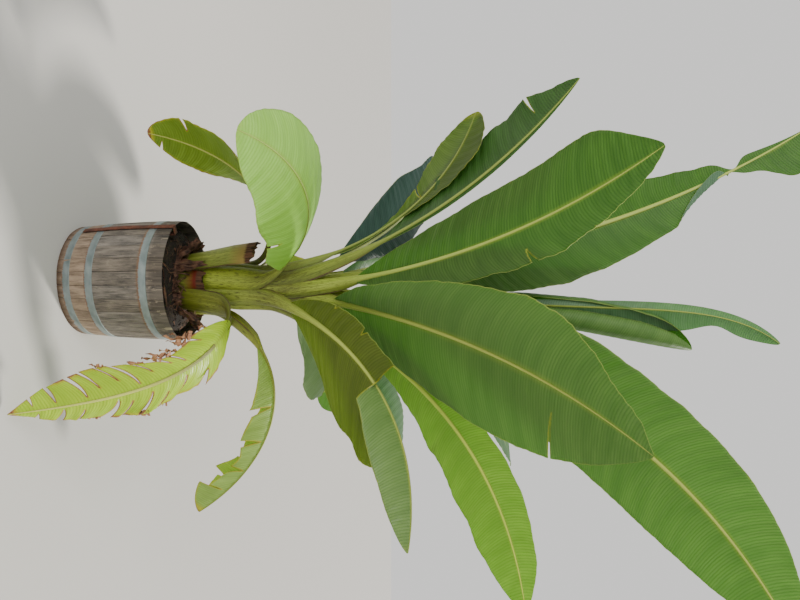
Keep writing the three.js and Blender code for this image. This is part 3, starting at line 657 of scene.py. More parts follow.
# Leaf stalks: each leaf starts as a base that clasps the trunk, draws in to a channelled stalk and
# runs on as the blade's rib. It is one fleshy piece, thick along its middle and thin at its margins.
PLAIN = (1.6, 0.75, 5, 0.62)
RIB_STEPS = 80
SWEEP = 0.25
FLARE = (1.12, 0.9)  # how wide a base is at its foot and its top
RIB_TIP = 0.004
RIB_FOOT = 0.016  # for a leaf without length, and it grows with the length
STOUT_TO = 0.35  # the share at which a stouter stalk is like the others


def aside(azimuth):
    """The level direction to the right of one who looks along the azimuth."""
    return Vector((math.sin(azimuth), -math.cos(azimuth), 0))


@dataclass
class Sheath:
    """A leaf base, which clasps the trunk; what is given in pairs is at its foot and its top."""
    name: str
    azimuth: float
    wrap: float  # how far it wraps round the trunk, in degrees to each side
    top: float
    thick: tuple
    off: tuple  # how far it stands off the trunk
    spread: float = 1.2  # how much wider than the part's own, so that it laps over others

    def __post_init__(self):
        self.azimuth = math.radians(self.azimuth)
        self.wrap = math.radians(self.wrap)

    def share(self, z):
        return min(1, max(0, (z - TRUNK_FOOT) / (self.top - TRUNK_FOOT)))

    def row(self, z):
        """The stalk's row at height z: see stalk_rows."""
        share = self.share(z)
        inner = trunk_radius(z) + mix(*self.off, share)
        thick = mix(*self.thick, share)
        wrap = self.wrap * mix(*FLARE, share) * self.spread
        margin = inner + 0.12 * thick
        middle = inner + 0.5 * thick
        outward = around(1, self.azimuth, 0)
        centre = trunk_centre(z) + outward * middle
        right = aside(self.azimuth)
        edge = middle - margin * math.cos(wrap)
        return [*centre, *right, *-outward, margin * math.sin(wrap), 0.5 * thick, edge, -0.35 * thick]


SHEATHS = {
    sheath.name: sheath for sheath in (
        Sheath("sheath_front_right", -58, 24, 0.990, (0.036, 0.027), (0, 0.002), 1.5),
        Sheath("sheath_front_left", -110, 27, 0.975, (0.036, 0.029), (0.006, 0.010), 1.5),
        Sheath("sheath_right", -14, 19, 1.030, (0.030, 0.024), (0, 0.006)),
        Sheath("sheath_left", -152, 15, 1.000, (0.032, 0.024), (0, 0)),
        Sheath("sheath_far_left", 175, 17, 0.915, (0.030, 0.026), (0, 0.004)),
        Sheath("sheath_back_left", 128, 21, 0.880, (0.032, 0.026), (0, 0.002)),
        Sheath("sheath_back", 86, 19, 0.860, (0.032, 0.026), (0, 0.002)),
        Sheath("sheath_back_right", 48, 17, 0.930, (0.032, 0.026), (0, 0.002)),
        Sheath("sheath_right_inner", 16, 13, 0.980, (0.028, 0.022), (0, 0.002)),
        Sheath("sheath_far_right", 10, 17, 0.720, (0.036, 0.030), (0.034, 0.042)),
        Sheath("sheath_cup", -52, 19, 0.815, (0.034, 0.022), (0.038, 0.098), 1.4),
    )
}


def direction(azimuth, elevation):
    azimuth, elevation = math.radians(azimuth), math.radians(elevation)
    return around(math.cos(elevation), azimuth, math.sin(elevation))


@dataclass
class Leaf:
    """A leaf. Angles are in degrees, and shares are of its length, from foot to tip."""
    name: str
    foot: Vector
    length: float
    way: tuple  # the azimuth and elevation of its rib at foot, middle and tip
    petiole: float  # the share of the stalk below the blade
    half: tuple  # the half-widths left and right
    fold: tuple  # how far each half is folded up at foot and tip
    roll: tuple = (0, 0)  # how far the blade is rolled about its rib at foot and tip
    outline: tuple = PLAIN  # the powers that shape its outline: see outline_at
    tears: tuple = ()  # side, share, depth and gap of each
    drop: dict = None  # the side and the share from which a half has dropped, its fold and width
    slim: float = 1  # how thick its stalk and rib are beside a full leaf's
    bow: float = 9  # how much a half turns down from rib to margin
    looks: str = "green"  # its colours: see BLADE_COLOURS
    split: bool = False  # whether the part has it in two nodes
    sheath: str = None  # the leaf base that it grows from; the inner leaves have none that shows
    ruffle: float = 1  # how wavy the margins are
    dried: float = 0.06  # how far the margins and tip have browned
    swing: float = 0  # how far the strips between tears swing apart
    pinches: tuple = ()  # side, share, reach and depth of each narrow place
    flap: tuple = None  # side and shares between which the margin has folded over, back to the rib
    sweep: tuple = (SWEEP, SWEEP)  # how far each margin runs ahead of the rib
    stout: float = 1  # how much thicker the stalk starts
    late: float = 1  # above 1, the rib bends mostly near its tip
    flesh: str = None  # the stalk's looks, where they aren't the blade's

    def __post_init__(self):
        self.foot = Vector(self.foot)
        self.ways = [direction(*self.way[i:i + 2]) for i in (0, 2, 4)]
        self.side = aside(math.radians(self.way[2]))
        self.bow = math.radians(self.bow)
        self.swing = math.radians(self.swing)
        self.flesh = self.flesh or self.looks
        self.sheath = SHEATHS.get(self.sheath)
        self.points = [self.foot.copy()]
        for k in range(RIB_STEPS):
            step = self.tangent((k + 0.5) / RIB_STEPS) * (self.length / RIB_STEPS)
            self.points.append(self.points[-1] + step)
        self.widest = max(self.outline_at(k / 50) for k in range(1, 50))

    def tangent(self, s):
        s = s ** self.late
        weights = ((1 - s) ** 2, 2 * s * (1 - s), s * s)
        total = Vector()
        for way, weight in zip(self.ways, weights):
            total += way * weight
        return total.normalized()

    def frame(self, s):
        """The rib's point, its tangent, its right hand and its upper side at share s of its length."""
        x = min(s, 1) * RIB_STEPS
        k = min(int(x), RIB_STEPS - 1)
        point = self.points[k].lerp(self.points[k + 1], x - k)
        along = self.tangent(s)
        flat = (self.side - along * self.side.dot(along)).normalized()
        rise = flat.cross(along)
        roll = math.radians(mix(*self.roll, ease(s)))
        right = flat * math.cos(roll) - rise * math.sin(roll)
        up = rise * math.cos(roll) + flat * math.sin(roll)
        return point, along, right, up

    def outline_at(self, t):
        """The blade's width at share t of its own length, before it is scaled to its widest."""
        a, b, c, d = self.outline
        return (1 - (1 - t) ** a) ** b * (1 - t ** c) ** d

    def blade_share(self, s):
        return min(1, max(0, (s - self.petiole) / (1 - self.petiole)))

    def has_dropped(self, s, q):
        return self.drop is not None and q * self.drop["side"] > 0 and s > self.drop["from"]

    def half_width(self, s, q):
        t = self.blade_share(s)
        if t <= 0 or t >= 1:
            return 0
        dropped = self.drop["width"] if self.has_dropped(s, q) else 1
        for side, at, reach, depth in self.pinches:
            if side * q > 0:
                dropped *= 1 - depth * math.exp(-((s - at) / reach) ** 2)
        return dropped * self.half[1 if q > 0 else 0] * self.outline_at(t) / self.widest

    def rib_half_width(self, s):
        stout = mix(self.stout, 1, ease(s / STOUT_TO))
        foot = RIB_FOOT + self.length / 90
        return stout * self.slim * mix(RIB_TIP, foot, max(0, 1 - s) ** 0.8)


LEAVES = (
    Leaf("front_right", (0.068, -0.040, 1.042), 1.85, (-64, 72, -48, 62, -54, 33), 0.14, (0.395, 0.440),
         (-22, -10, -15, -10), outline=(2.2, 0.8, 2.6, 0.8), tears=((-1, 0.755, 0.6, 0.012),), bow=4,
         stout=1.6, pinches=((1, 0.72, 0.16, -0.16),)),
    Leaf("front_left", (0.046, -0.070, 1.042), 1.84, (-108, 76, -130, 65, -130, 40), 0.2, (0.310, 0.250),
         (-20, -15, -20, -10), outline=(2, 0.8, 3, 0.7), tears=((-1, 0.65, 0.4, 0.026),), bow=4,
         pinches=((1, 0.88, 0.12, -0.45),), looks="deep", stout=1.7),
    Leaf("low_front_right", (0.091, -0.087, 0.968), 1.46, (-52, 60, -26, 38, -14, -10), 0.08, (0.52, 0.240),
         (-14, -30, 10, 0), roll=(-35, -16), outline=(3.1, 0.8, 4.1, 0.74), sweep=(0.6, 0.2),
         tears=((1, 0.50, 0.95, 0.02), (1, 0.24, 0.14, 0.012), (1, 0.36, 0.24, 0.02)),
         pinches=((-1, 0.08, 0.12, 0.5), (-1, 0.9, 0.45, 0.8), (-1, 0.42, 0.08, 0.15), (1, 0.44, 0.14, 0.3)),
         drop={"side": 1, "from": 0.50, "fold": -80, "width": 0.78}, sheath="sheath_front_right", dried=0.12,
         looks="khaki", flesh="green", stout=1.5),
    Leaf("arching_front_left", (0, -0.100, 0.955), 1.01, (-142, 54, -132, 9, -124, -60), 0.1, (0.345, 0.305),
         (-34, -6, 7, -5), roll=(-2, -4), outline=(2.6, 0.7, 5, 0.62), tears=((-1, 0.42, 0.3, 0.024),),
         pinches=((-1, 0.2, 0.16, -0.5), (1, 0.2, 0.12, -0.7), (-1, 0.82, 0.13, 0.2)), split=True,
         looks="pale", sheath="sheath_front_left", dried=0.12),
    Leaf("hanging_front_right", (0.153, -0.149, 0.800), 1.098, (-40, 0, -62, -76, -74, -70), 0.06,
         (0.134, 0.158), (-10, -20, -10, -20), split=True, looks="yellow", flesh="olive",
         sheath="sheath_cup", dried=0.8, swing=16, ruffle=1.9, outline=(9, 0.5, 4, 1), sweep=(0.75, 0.75),
         pinches=((1, 0.31, 0.17, 0.42),),
         tears=((1, 0.20, 0.35, 0.010), (1, 0.33, 0.62, 0.012), (1, 0.37, 0.4, 0.008), (1, 0.46, 0.55, 0.012),
                (1, 0.53, 0.85, 0.022), (1, 0.58, 0.5, 0.008), (1, 0.66, 0.6, 0.012), (1, 0.72, 0.8, 0.026),
                (1, 0.83, 0.75, 0.030), (1, 0.91, 0.6, 0.016),
                (-1, 0.24, 0.4, 0.016), (-1, 0.35, 0.8, 0.014), (-1, 0.42, 0.5, 0.010),
                (-1, 0.49, 0.75, 0.018), (-1, 0.57, 0.6, 0.010), (-1, 0.62, 0.85, 0.044),
                (-1, 0.74, 0.6, 0.012), (-1, 0.81, 0.85, 0.034), (-1, 0.90, 0.6, 0.018))),
    Leaf("tall_right", (0.088, -0.010, 1.042), 2.90, (5, 80, -8, 66, -26, 18), 0.14, (0.370, 0.280),
         (14, 4, 10, 4), roll=(-50, -50), outline=(2.2, 0.8, 3, 0.75), pinches=((1, 0.36, 0.14, -0.4),)),
    Leaf("tall_left", (0.010, 0, 1.042), 2.90, (134, 84, 163, 75.5, 180, 57), 0.2, (0.255, 0.300),
         (14, 4, 14, 4), roll=(50, 90), outline=(1.6, 0.75, 1, 1.8),
         pinches=((1, 0.83, 0.02, 1), (-1, 0.82, 0.018, 1), (-1, 0.93, 0.04, -12)), flap=(-1, 0.67, 0.81),
         looks="deep"),
    Leaf("shaded_left", (0.002, -0.064, 1.042), 1.69, (-158, 73, -162, 56, -163, 38), 0.28, (0.020, 0.315),
         (30, 10, 0, 10), roll=(0, 35), outline=(5, 0.8, 3, 0.7), tears=((1, 0.86, 0.5, 0.02),),
         looks="shady", ruffle=2.6, pinches=((1, 0.64, 0.10, 0.12),), stout=2),
    Leaf("mid_left", (-0.049, -0.053, 0.980), 1.38, (150, 78, 172, 55, 177, 18), 0.2, (0.200, 0.310),
         (16, 10, -4, -10), roll=(20, 20), tears=((1, 0.62, 0.8, 0.020),), looks="tired", flesh="shady",
         sheath="sheath_left", ruffle=1.4, dried=0.2, stout=1.5,
         pinches=((-1, 0.45, 0.21, 0.94), (1, 0.36, 0.16, 0.8))),
    Leaf("mid_right", (0.112, 0.006, 1.042), 1.95, (10, 67, -4, 42, -30, 3), 0.2, (0.200, 0.128),
         (0, 0, 50, 5), roll=(-50, -50), outline=(1.6, 0.75, 4, 0.7), ruffle=1.6, looks="fresh",
         pinches=((-1, 0.55, 0.3, -0.25),)),
    Leaf("short_right", (0.139, -0.025, 1.012), 0.62, (20, 60, 26, 16, 30, -26), 0.15, (0.120, 0.180),
         (10, 0, -36, -30), looks="greyish", sheath="sheath_right", ruffle=2, outline=(3, 0.6, 5, 0.62)),
    Leaf("arching_right", (0.165, 0.025, 0.700), 1.325, (8, 57, 8, -22, 1, -58), 0.18, (0.160, 0.160),
         (-40, -66, -40, -66), split=True, sheath="sheath_far_right", dried=0.5, swing=20, looks="fading",
         ruffle=1.6, stout=2, pinches=((-1, 0.7, 0.10, 0.45), (1, 0.7, 0.10, 0.45)),
         tears=((1, 0.44, 0.8, 0.040), (1, 0.6, 0.8, 0.044), (1, 0.74, 0.8, 0.040), (1, 0.86, 0.7, 0.030),
                (-1, 0.4, 0.7, 0.030), (-1, 0.56, 0.8, 0.044), (-1, 0.7, 0.8, 0.036),
                (-1, 0.83, 0.7, 0.030))),
    Leaf("hanging_left", (-0.077, 0.015, 0.895), 0.99, (-160, 33, -158, -56, -154, -79), 0.2, (0.290, 0.215),
         (0, -10, 0, -10), roll=(0, 60), outline=(7, 0.6, 1.4, 0.62),
         tears=((-1, 0.8, 0.5, 0.020), (1, 0.93, 0.6, 0.016)), split=True, looks="olive",
         sheath="sheath_far_left", dried=0.7),
    Leaf("spear_tall", (0.038, 0.022, 1.042), 2.59, (13, 85.3, 135, 78.8, 1, 51.7), 0.2, (0.040, 0.115),
         (-70, -60, 30, 20), slim=0.5, bow=-14, pinches=((1, 0.86, 0.05, 0.5),), ruffle=0.6, late=3.1),
    Leaf("spear_short", (0.066, 0.008, 1.042), 2.125, (48, 84, 40, 83, 10, 75), 0.2, (0.270, 0.210),
         (78, 78, 85, 85), slim=0.5, bow=-105, outline=(1.6, 0.75, 7, 0.7), ruffle=0.3),
    Leaf("back_tall", (0.048, 0.062, 1.042), 1.70, (80, 70, 84, 50, 88, 10), 0.2, (0.240, 0.240),
         (20, 5, 20, 5)),
    Leaf("back_right_upper", (0.088, 0.044, 1.042), 2.00, (50, 66, 44, 44, 36, 14), 0.2, (0.220, 0.220),
         (20, 5, 20, 5)),
    Leaf("back_right_lower", (0.132, 0.030, 0.962), 1.40, (30, 60, 28, 32, 24, -10), 0.2, (0.200, 0.200),
         (20, 5, 20, 5), sheath="sheath_right_inner"),
    Leaf("back_left", (-0.018, 0.034, 1.042), 1.38, (138, 66, 136, 36, 134, 6), 0.2, (0.255, 0.235),
         (-35, -20, 10, 5), looks="dark", ruffle=1.5, pinches=((-1, 0.85, 0.25, 0.5), (1, 0.85, 0.25, 0.4))),
    Leaf("back_mid", (0.008, 0.066, 1.042), 1.50, (108, 60, 106, 30, 104, -20), 0.2, (0.210, 0.210),
         (20, 5, 20, 5)),
    Leaf("back_right_arching", (0.107, 0.080, 0.912), 1.40, (60, 52, 58, 10, 54, -50), 0.18, (0.200, 0.200),
         (14, -4, 14, -4), split=True, sheath="sheath_back_right"),
    Leaf("back_left_arching", (-0.037, 0.088, 0.862), 1.15, (148, 34, 144, -10, 138, -60), 0.18,
         (0.190, 0.190), (10, -6, 10, -6), split=True, sheath="sheath_back_left", dried=0.4),
    Leaf("back_hanging", (0.038, 0.113, 0.842), 1.15, (95, 46, 94, -14, 92, -66), 0.16, (0.170, 0.170),
         (6, -10, 6, -10), split=True, looks="olive", sheath="sheath_back", dried=0.6),
)

STALK_AROUND = 28  # points round a stalk, half of them on its outer side
BASE_ROWS = 30
PETIOLE_STEP = 0.016
RIB_STEP = 0.028
INNER_BASE = 0.26  # how far a leaf of the inner sheaf runs down inside the trunk
JOINT_ROWS = 11  # rows that are drawn smooth on each side of a leaf's foot
JOINT_PASSES = 26
FORK_ROWS = 7  # how far the soot spots and the painted shade of the fork spread on each side of a leaf's foot
STALK_SHARE = 0.78  # how wide a stalk is beside the part's own
GROOVES = 0.018  # how deep the fine grooves along a stalk are, in shares of its thickness
BURIED = 0.006  # how far the bases reach down into the trunk's foot
BLADE_OPENS = 0.75  # the share of the petiole where its channel begins to close
RIB_FLATNESS = 0.62
CLASP_ROWS = 8  # over these rows the dark line on the margins fades out


def stalk_rows(leaf):
    """The stalk's rows from foot to tip, the row where it leaves its base, and the one where the blade
    begins. A row is 13 numbers: centre, right hand, upper side, half-width, depth of the outer side
    below the centre, height of the margins above it, and depth of the channel's floor."""
    rows = []
    sheath = leaf.sheath
    full = STALK_SHARE * leaf.rib_half_width(0)
    if sheath:
        for k in range(BASE_ROWS):
            z = mix(TRUNK_FOOT - BURIED, leaf.foot.z - 0.02, k / (BASE_ROWS - 1))
            rows.append(sheath.row(z))
    else:
        radial = leaf.foot - trunk_centre(leaf.foot.z)
        azimuth = math.atan2(radial.y, radial.x)
        outward = around(1, azimuth, 0)
        right = aside(azimuth)
        for k in range(BASE_ROWS // 2):
            share = k / (BASE_ROWS // 2 - 1)
            z = leaf.foot.z - INNER_BASE * (1 - share) - 0.01
            centre = trunk_centre(z) + outward * (radial.length + 0.012 * (1 - share))
            width = full * mix(1.35, 0.9, share)
            rows.append([*centre, *right, *-outward, width, 0.55 * width, 0.45 * width, 0.05 * width])
    foot_row = len(rows)
    steps = max(6, round(leaf.petiole * leaf.length / PETIOLE_STEP))
    blade_row = foot_row + steps
    shares = [leaf.petiole * (k + 1) / steps for k in range(steps)]
    steps = round((1 - leaf.petiole) * leaf.length / RIB_STEP)
    shares += [mix(leaf.petiole, 0.997, (k + 1) / steps) for k in range(steps)]
    for s in shares:
        point, along, right, up = leaf.frame(s)
        half = STALK_SHARE * leaf.rib_half_width(s)
        # the channel closes as the blade begins, and the rib sinks into the blade's upper side
        opened = ease((s - BLADE_OPENS * leaf.petiole) / (0.45 * leaf.petiole + 0.02))
        half *= mix(1, RIB_FLATNESS, opened)
        depth = half * mix(0.72, 0.85, opened)
        edge = half * mix(0.62, 0.02, opened)
        floor_depth = mix(0.12 * half, -0.0016 - 0.10 * half, opened)
        rows.append([*point, *right, *up, half, depth, edge, floor_depth])
    rows = np.array(rows)
    first, last = max(1, foot_row - JOINT_ROWS), min(len(rows) - 1, foot_row + JOINT_ROWS)
    for _ in range(JOINT_PASSES):
        middle = rows[first:last]
        rows[first:last] = 0.5 * middle + 0.25 * rows[first - 1:last - 1] + 0.25 * rows[first + 1:last + 1]
    return rows, foot_row, blade_row


def stalk_shape(rows, seed, clasp_to, fork_row=None, cut=None, dry_zone=0):
    """Sweeps the channelled section along the rows, with faces outwards. Its margins are dry as far
    as row clasp_to, and where it is cut at a height it has dried all round, down through the zone."""
    shape, surface, dry, clasp, fork = new_shape("dry", "clasp", "fork")
    lengths = [0]
    for a, b in zip(rows, rows[1:]):
        lengths.append(lengths[-1] + float(np.linalg.norm(b[:3] - a[:3])))
    bmesh.ops.create_grid(shape, x_segments=STALK_AROUND, y_segments=len(rows) - 1, size=0.5)
    for face in shape.faces:
        for loop in face.loops:
            round_share = loop.vert.co.x + 0.5
            across = 2 * round_share if round_share <= 0.5 else 2 - 2 * round_share
            along = lengths[round((loop.vert.co.y + 0.5) * (len(rows) - 1))]
            loop[surface].uv = (across, along)
    for vert in shape.verts:
        round_share = vert.co.x + 0.5
        k = round((vert.co.y + 0.5) * (len(rows) - 1))
        centre, right, up = (Vector(rows[k][i:i + 3]) for i in (0, 3, 6))
        width, depth, edge, floor_depth = rows[k][9:]
        outer = round_share <= 0.5
        turn = 2 * math.pi * round_share if outer else 2 * math.pi * (1 - round_share)
        bulge = math.sin(turn)
        below = depth if outer else floor_depth
        ridge = GROOVES * noise_at(math.cos(turn) * 9, lengths[k] * 2.5, seed)
        groove = 1 + ridge * (2 if outer else 1)
        lift = -below * bulge * groove + edge * (1 - bulge)
        waver = 1 + 0.03 * noise_at(seed, lengths[k] * 9, 1)
        vert.co = centre - right.normalized() * (width * math.cos(turn) * waver) + up.normalized() * lift
        vert[clasp] = 1 - ease((k - clasp_to + CLASP_ROWS) / CLASP_ROWS)
        vert[fork] = 0 if fork_row is None else math.exp(-((k - fork_row) / FORK_ROWS) ** 2)
        if cut is not None:
            vert[dry] = min(1, max(0, (vert.co.z - cut + dry_zone) / dry_zone))
    bmesh.ops.remove_doubles(shape, verts=shape.verts, dist=1e-5)
    bmesh.ops.holes_fill(shape, edges=shape.edges, sides=0)
    bmesh.ops.recalc_face_normals(shape, faces=shape.faces)
    return shape


STALK_COLOURS = {  # fresh and shaded flesh, and the rib
    "green": ("a8b64a", "6d7c22", "b2bf58"),
    "fading": ("a9b03a", "7f8726", "a8b45c"),
    "deep": ("a8b64a", "6d7c22", "a8b756"),
    "fresh": ("b8c84a", "7c8c26", "c4d84e"),
    "greyish": ("a8b450", "86962a", "a4b45c"),
    "shady": ("87933a", "5f6c22", "8a9a44"),
    "pale": ("a8b63a", "86962a", "a6c45c"),
    "olive": ("7e8228", "5a621a", "d2d86c"),
    "dark": ("8a9430", "66741f", "6c7c3c"),
}
stalk_flesh = {
    looks: new_finish(f"{looks} leaf base flesh", leaf_base_flesh, *colours, "a08a3a", 0.8)
    for looks, colours in STALK_COLOURS.items()
}


def leaf_nodes(leaf):
    ends = ("_inner", "_outer") if leaf.split else ("",)
    return ["leaf_" + leaf.name + end for end in ends]


for number, leaf in enumerate(LEAVES):
    replaced = leaf_nodes(leaf) + ([leaf.sheath.name] if leaf.sheath else [])
    rows, foot_row, blade_row = stalk_rows(leaf)
    stalk = stalk_shape(rows, number, blade_row, foot_row)
    flesh = stalk_flesh[leaf.flesh]
    place_piece(leaf.name + "_stalk", stalk, [flesh], replaced, turn_faces=False)


# Stubs: old leaf bases cut off short when the leaf died. The cut has dried brown and sunk between
# its firmer margins, and one at the front still blushes red below it.
STUBS = (  # the stub, how its flesh blushes below the cut, and how far down it has dried
    (Sheath("stub_left", -140, 13.5, 0.905, (0.036, 0.030), (0.036, 0.134), 1.6), "8f7a3a", 0.15),
    (Sheath("stub_front", -96, 16, 0.640, (0.032, 0.028), (0.038, 0.046), 1.45), "6a1c08", 0.11),
    (Sheath("stub_back", 108, 17, 0.690, (0.034, 0.028), (0.034, 0.068)), "8f7a3a", 0.06),
)
STUB_ROWS = 24
CUT_RIM = 0.003
CUT_SINK = 0.012
CUT_ZONE = 0.03  # how far below the top the cut's raggedness reaches
CUT_RAGGED = 0.026


def stub_shape(stub, dry_zone, seed):
    heights = [mix(TRUNK_FOOT - BURIED, stub.top, k / (STUB_ROWS - 1)) for k in range(STUB_ROWS)]
    rows = [stub.row(z) for z in heights]
    for row in rows:
        depth, edge = row[10:12]
        row[11:] = edge + 0.3 * depth, 0.25 * depth
    shape = stalk_shape(np.array(rows), seed, STUB_ROWS + CLASP_ROWS, cut=stub.top - 0.008, dry_zone=dry_zone)
    tops = [f for f in shape.faces if f.calc_center_median().z > stub.top - 0.002 and len(f.verts) > 5]
    bmesh.ops.inset_region(shape, faces=tops, thickness=CUT_RIM, depth=-CUT_SINK)
    for vert in shape.verts:
        near_top = ease((vert.co.z - stub.top + CUT_ZONE) / CUT_ZONE)
        vert.co.z += CUT_RAGGED * near_top * noise.noise(Vector((vert.co.x, vert.co.y, seed)) * 46)
    return shape


for number, (stub, blush, dry_zone) in enumerate(STUBS):
    title = stub.name.replace("_", " ") + " flesh"
    flesh = new_finish(title, leaf_base_flesh, "99a24a", "6c7a2c", "99a24a", blush, 0.7)
    shape = stub_shape(stub, dry_zone, 40 + number)
    place_piece(stub.name + "_base", shape, [flesh], [stub.name], turn_faces=False)


# Dry sheaths: dead leaf bases round the plant's foot, as thin as paper and torn into ragged flaps.
# They grew there, and stand in the soil against the trunk.
DRY_SHEATHS = (
    Sheath("dry_sheath_left", -132, 22, 0.585, (0.012, 0.010), (0.074, 0.092)),
    Sheath("dry_sheath_front", -70, 18, 0.545, (0.012, 0.010), (0.074, 0.084)),
    Sheath("dry_sheath_back", 62, 28, 0.585, (0.012, 0.010), (0.036, 0.060)),
)
PAPER = 0.0014  # the thickness of a dead leaf base


def ragged_sheath(sheath, seed):
    shape, _ = new_shape()
    bmesh.ops.create_grid(shape, x_segments=44, y_segments=14, size=0.5, calc_uvs=True)
    for vert in shape.verts:
        across, up = 2 * vert.co.x, vert.co.y + 0.5
        tatter = 0.62 + 0.38 * noise_at(across * 5, seed, 0) - 0.3 * across ** 4
        z = mix(TRUNK_FOOT - 0.008, sheath.top, up * tatter)
        share = sheath.share(z)
        crumple = 0.008 * up * noise_at(across * 6, up * 3, seed + 5)
        curl = 0.012 * up * up * noise_at(across * 3, seed, 8)
        radius = trunk_radius(z) + mix(*sheath.off, share) + 0.006 + crumple + curl
        vert.co = trunk_centre(z) + around(radius, sheath.azimuth + across * sheath.wrap, 0)
    bmesh.ops.solidify(shape, geom=shape.faces[:], thickness=PAPER)
    return shape


def dead_leaf_paper(add, pale, dark, fibre_scale):
    """Dead banana leaf: papery, with dark streaks along its fibres, tan to dark brown and dull."""
    surface = add("UVMap", uv_map="surface")[0]
    fibres = add("Mapping", {"Vector": surface, "Scale": fibre_scale})[0]
    fibre = add("TexNoise", {"Vector": fibres, "Scale": 1, "Detail": 5})[0]
    place = add("TexCoord")["Object"]
    patch = add("TexNoise", {"Vector": place, "Scale": 24, "Detail": 3})[0]
    both = add("Math", {0: fibre, 1: patch}, operation="MULTIPLY")[0]
    share = add("MapRange", {0: both, 1: 0.14, 2: 0.36})[0]
    colour = add("Mix", {0: share, 6: dark, 7: pale}, data_type="RGBA")[2]
    bump = add("Bump", {"Height": fibre, "Strength": 0.8, "Distance": 0.002})[0]
    return add("BsdfPrincipled", {"Base Color": colour, "Roughness": 0.85, "Normal": bump})[0]


dead_sheath = new_finish("dead leaf base", dead_leaf_paper, "8a6a4c", "2e1c15", (70, 3, 1))
for number, sheath in enumerate(DRY_SHEATHS):
    shape = ragged_sheath(sheath, 60 + number)
    place_piece(sheath.name + "_flap", shape, [dead_sheath], [sheath.name])


# Strings and litter: shreds of dead sheath that stand round the foot of the plant, hang from it and
# lie on the soil.
FLAPS = (  # azimuth, distance from the plant's middle, width, height and lean of each flap
    (-120, 0.190, 0.070, 0.210, 0.02), (-110, 0.205, 0.050, 0.150, 0.15), (-134, 0.200, 0.070, 0.120, 0.40),
    (-148, 0.195, 0.075, 0.140, 0.45), (-164, 0.170, 0.070, 0.120, 0.50), (-98, 0.200, 0.090, 0.060, 0.30),
    (-80, 0.200, 0.070, 0.060, 0.40), (-64, 0.210, 0.070, 0.070, 0.30), (-38, 0.190, 0.060, 0.170, 0.45),
    (-26, 0.180, 0.065, 0.120, 0.55), (-8, 0.170, 0.065, 0.090, 0.60), (22, 0.160, 0.060, 0.080, 0.50),
    (100, 0.150, 0.070, 0.090, 0.50), (140, 0.150, 0.070, 0.090, 0.50), (176, 0.160, 0.065, 0.100, 0.60),
)
STEM = ((-0.055, -0.232, 0.486), (0.135, -0.222, 0.503))  # a flat dry stem that lies by the front rim
STEM_WIDTH = 0.017
STRINGS = 90
SCRAPS = 46
RIBBON_THICKNESS = 0.0009


def add_ribbon(shape, points, width, seed):
    """Adds a thin strip through the points, which narrows to its end and twists a little."""
    strip = bmesh.ops.create_grid(
        shape, x_segments=2, y_segments=len(points) - 1, size=0.5, calc_uvs=True)["verts"]
    for vert in strip:
        across, up = vert.co.x, vert.co.y + 0.5
        k = round(up * (len(points) - 1))
        ahead = points[min(k + 1, len(points) - 1)] - points[max(k - 1, 0)]
        twist = 2.2 * noise_at(up * 2.1, seed, 3)
        level = ahead.cross(Vector((0, 0, 1)))
        if level.length < 1e-6:
            level = Vector((1, 0, 0))
        twisted = Matrix.Rotation(twist, 3, ahead.normalized()) @ level.normalized()
        vert.co = points[k] + twisted * (across * width * mix(1, 0.35, up))
    bmesh.ops.solidify(shape, geom=faces_of(strip), thickness=RIBBON_THICKNESS)


def add_flap(shape, foot, outward, width, height, lean, seed):
    """Adds a crumpled flap that stands at foot, leans outward, and ends in tatters."""
    flap = bmesh.ops.create_grid(shape, x_segments=8, y_segments=9, size=0.5, calc_uvs=True)["verts"]
    beside = Vector((-outward.y, outward.x, 0))
    for vert in flap:
        across, up = vert.co.x, vert.co.y + 0.5
        tatter = 0.75 + 0.5 * noise_at(across * 7, seed, 0)
        crumple = 0.022 * noise_at(across * 3.5, up * 2.5, seed + 4)
        cupped = width * across * across
        step = outward * (lean * height * up * up + crumple - cupped)
        narrow = mix(1, 0.55, up) * (1 + 0.3 * noise_at(up * 4, seed, 6))
        vert.co = foot + step + beside * (across * width * narrow) + Vector((0, 0, height * up * tatter))
    bmesh.ops.solidify(shape, geom=faces_of(flap), thickness=PAPER)


def plant_foot(turn, reach, level=0):
    """A place round the plant's foot, in height above the soil."""
    place = trunk_centre(TRUNK_FOOT) + around(reach, turn, 0)
    radius = min(place.xy.length, stave_radius(SOIL_EDGE) - WALL - BESIDE_WALL)
    angle = math.atan2(place.y, place.x)
    return around(radius, angle, soil_level(radius, angle) + level)


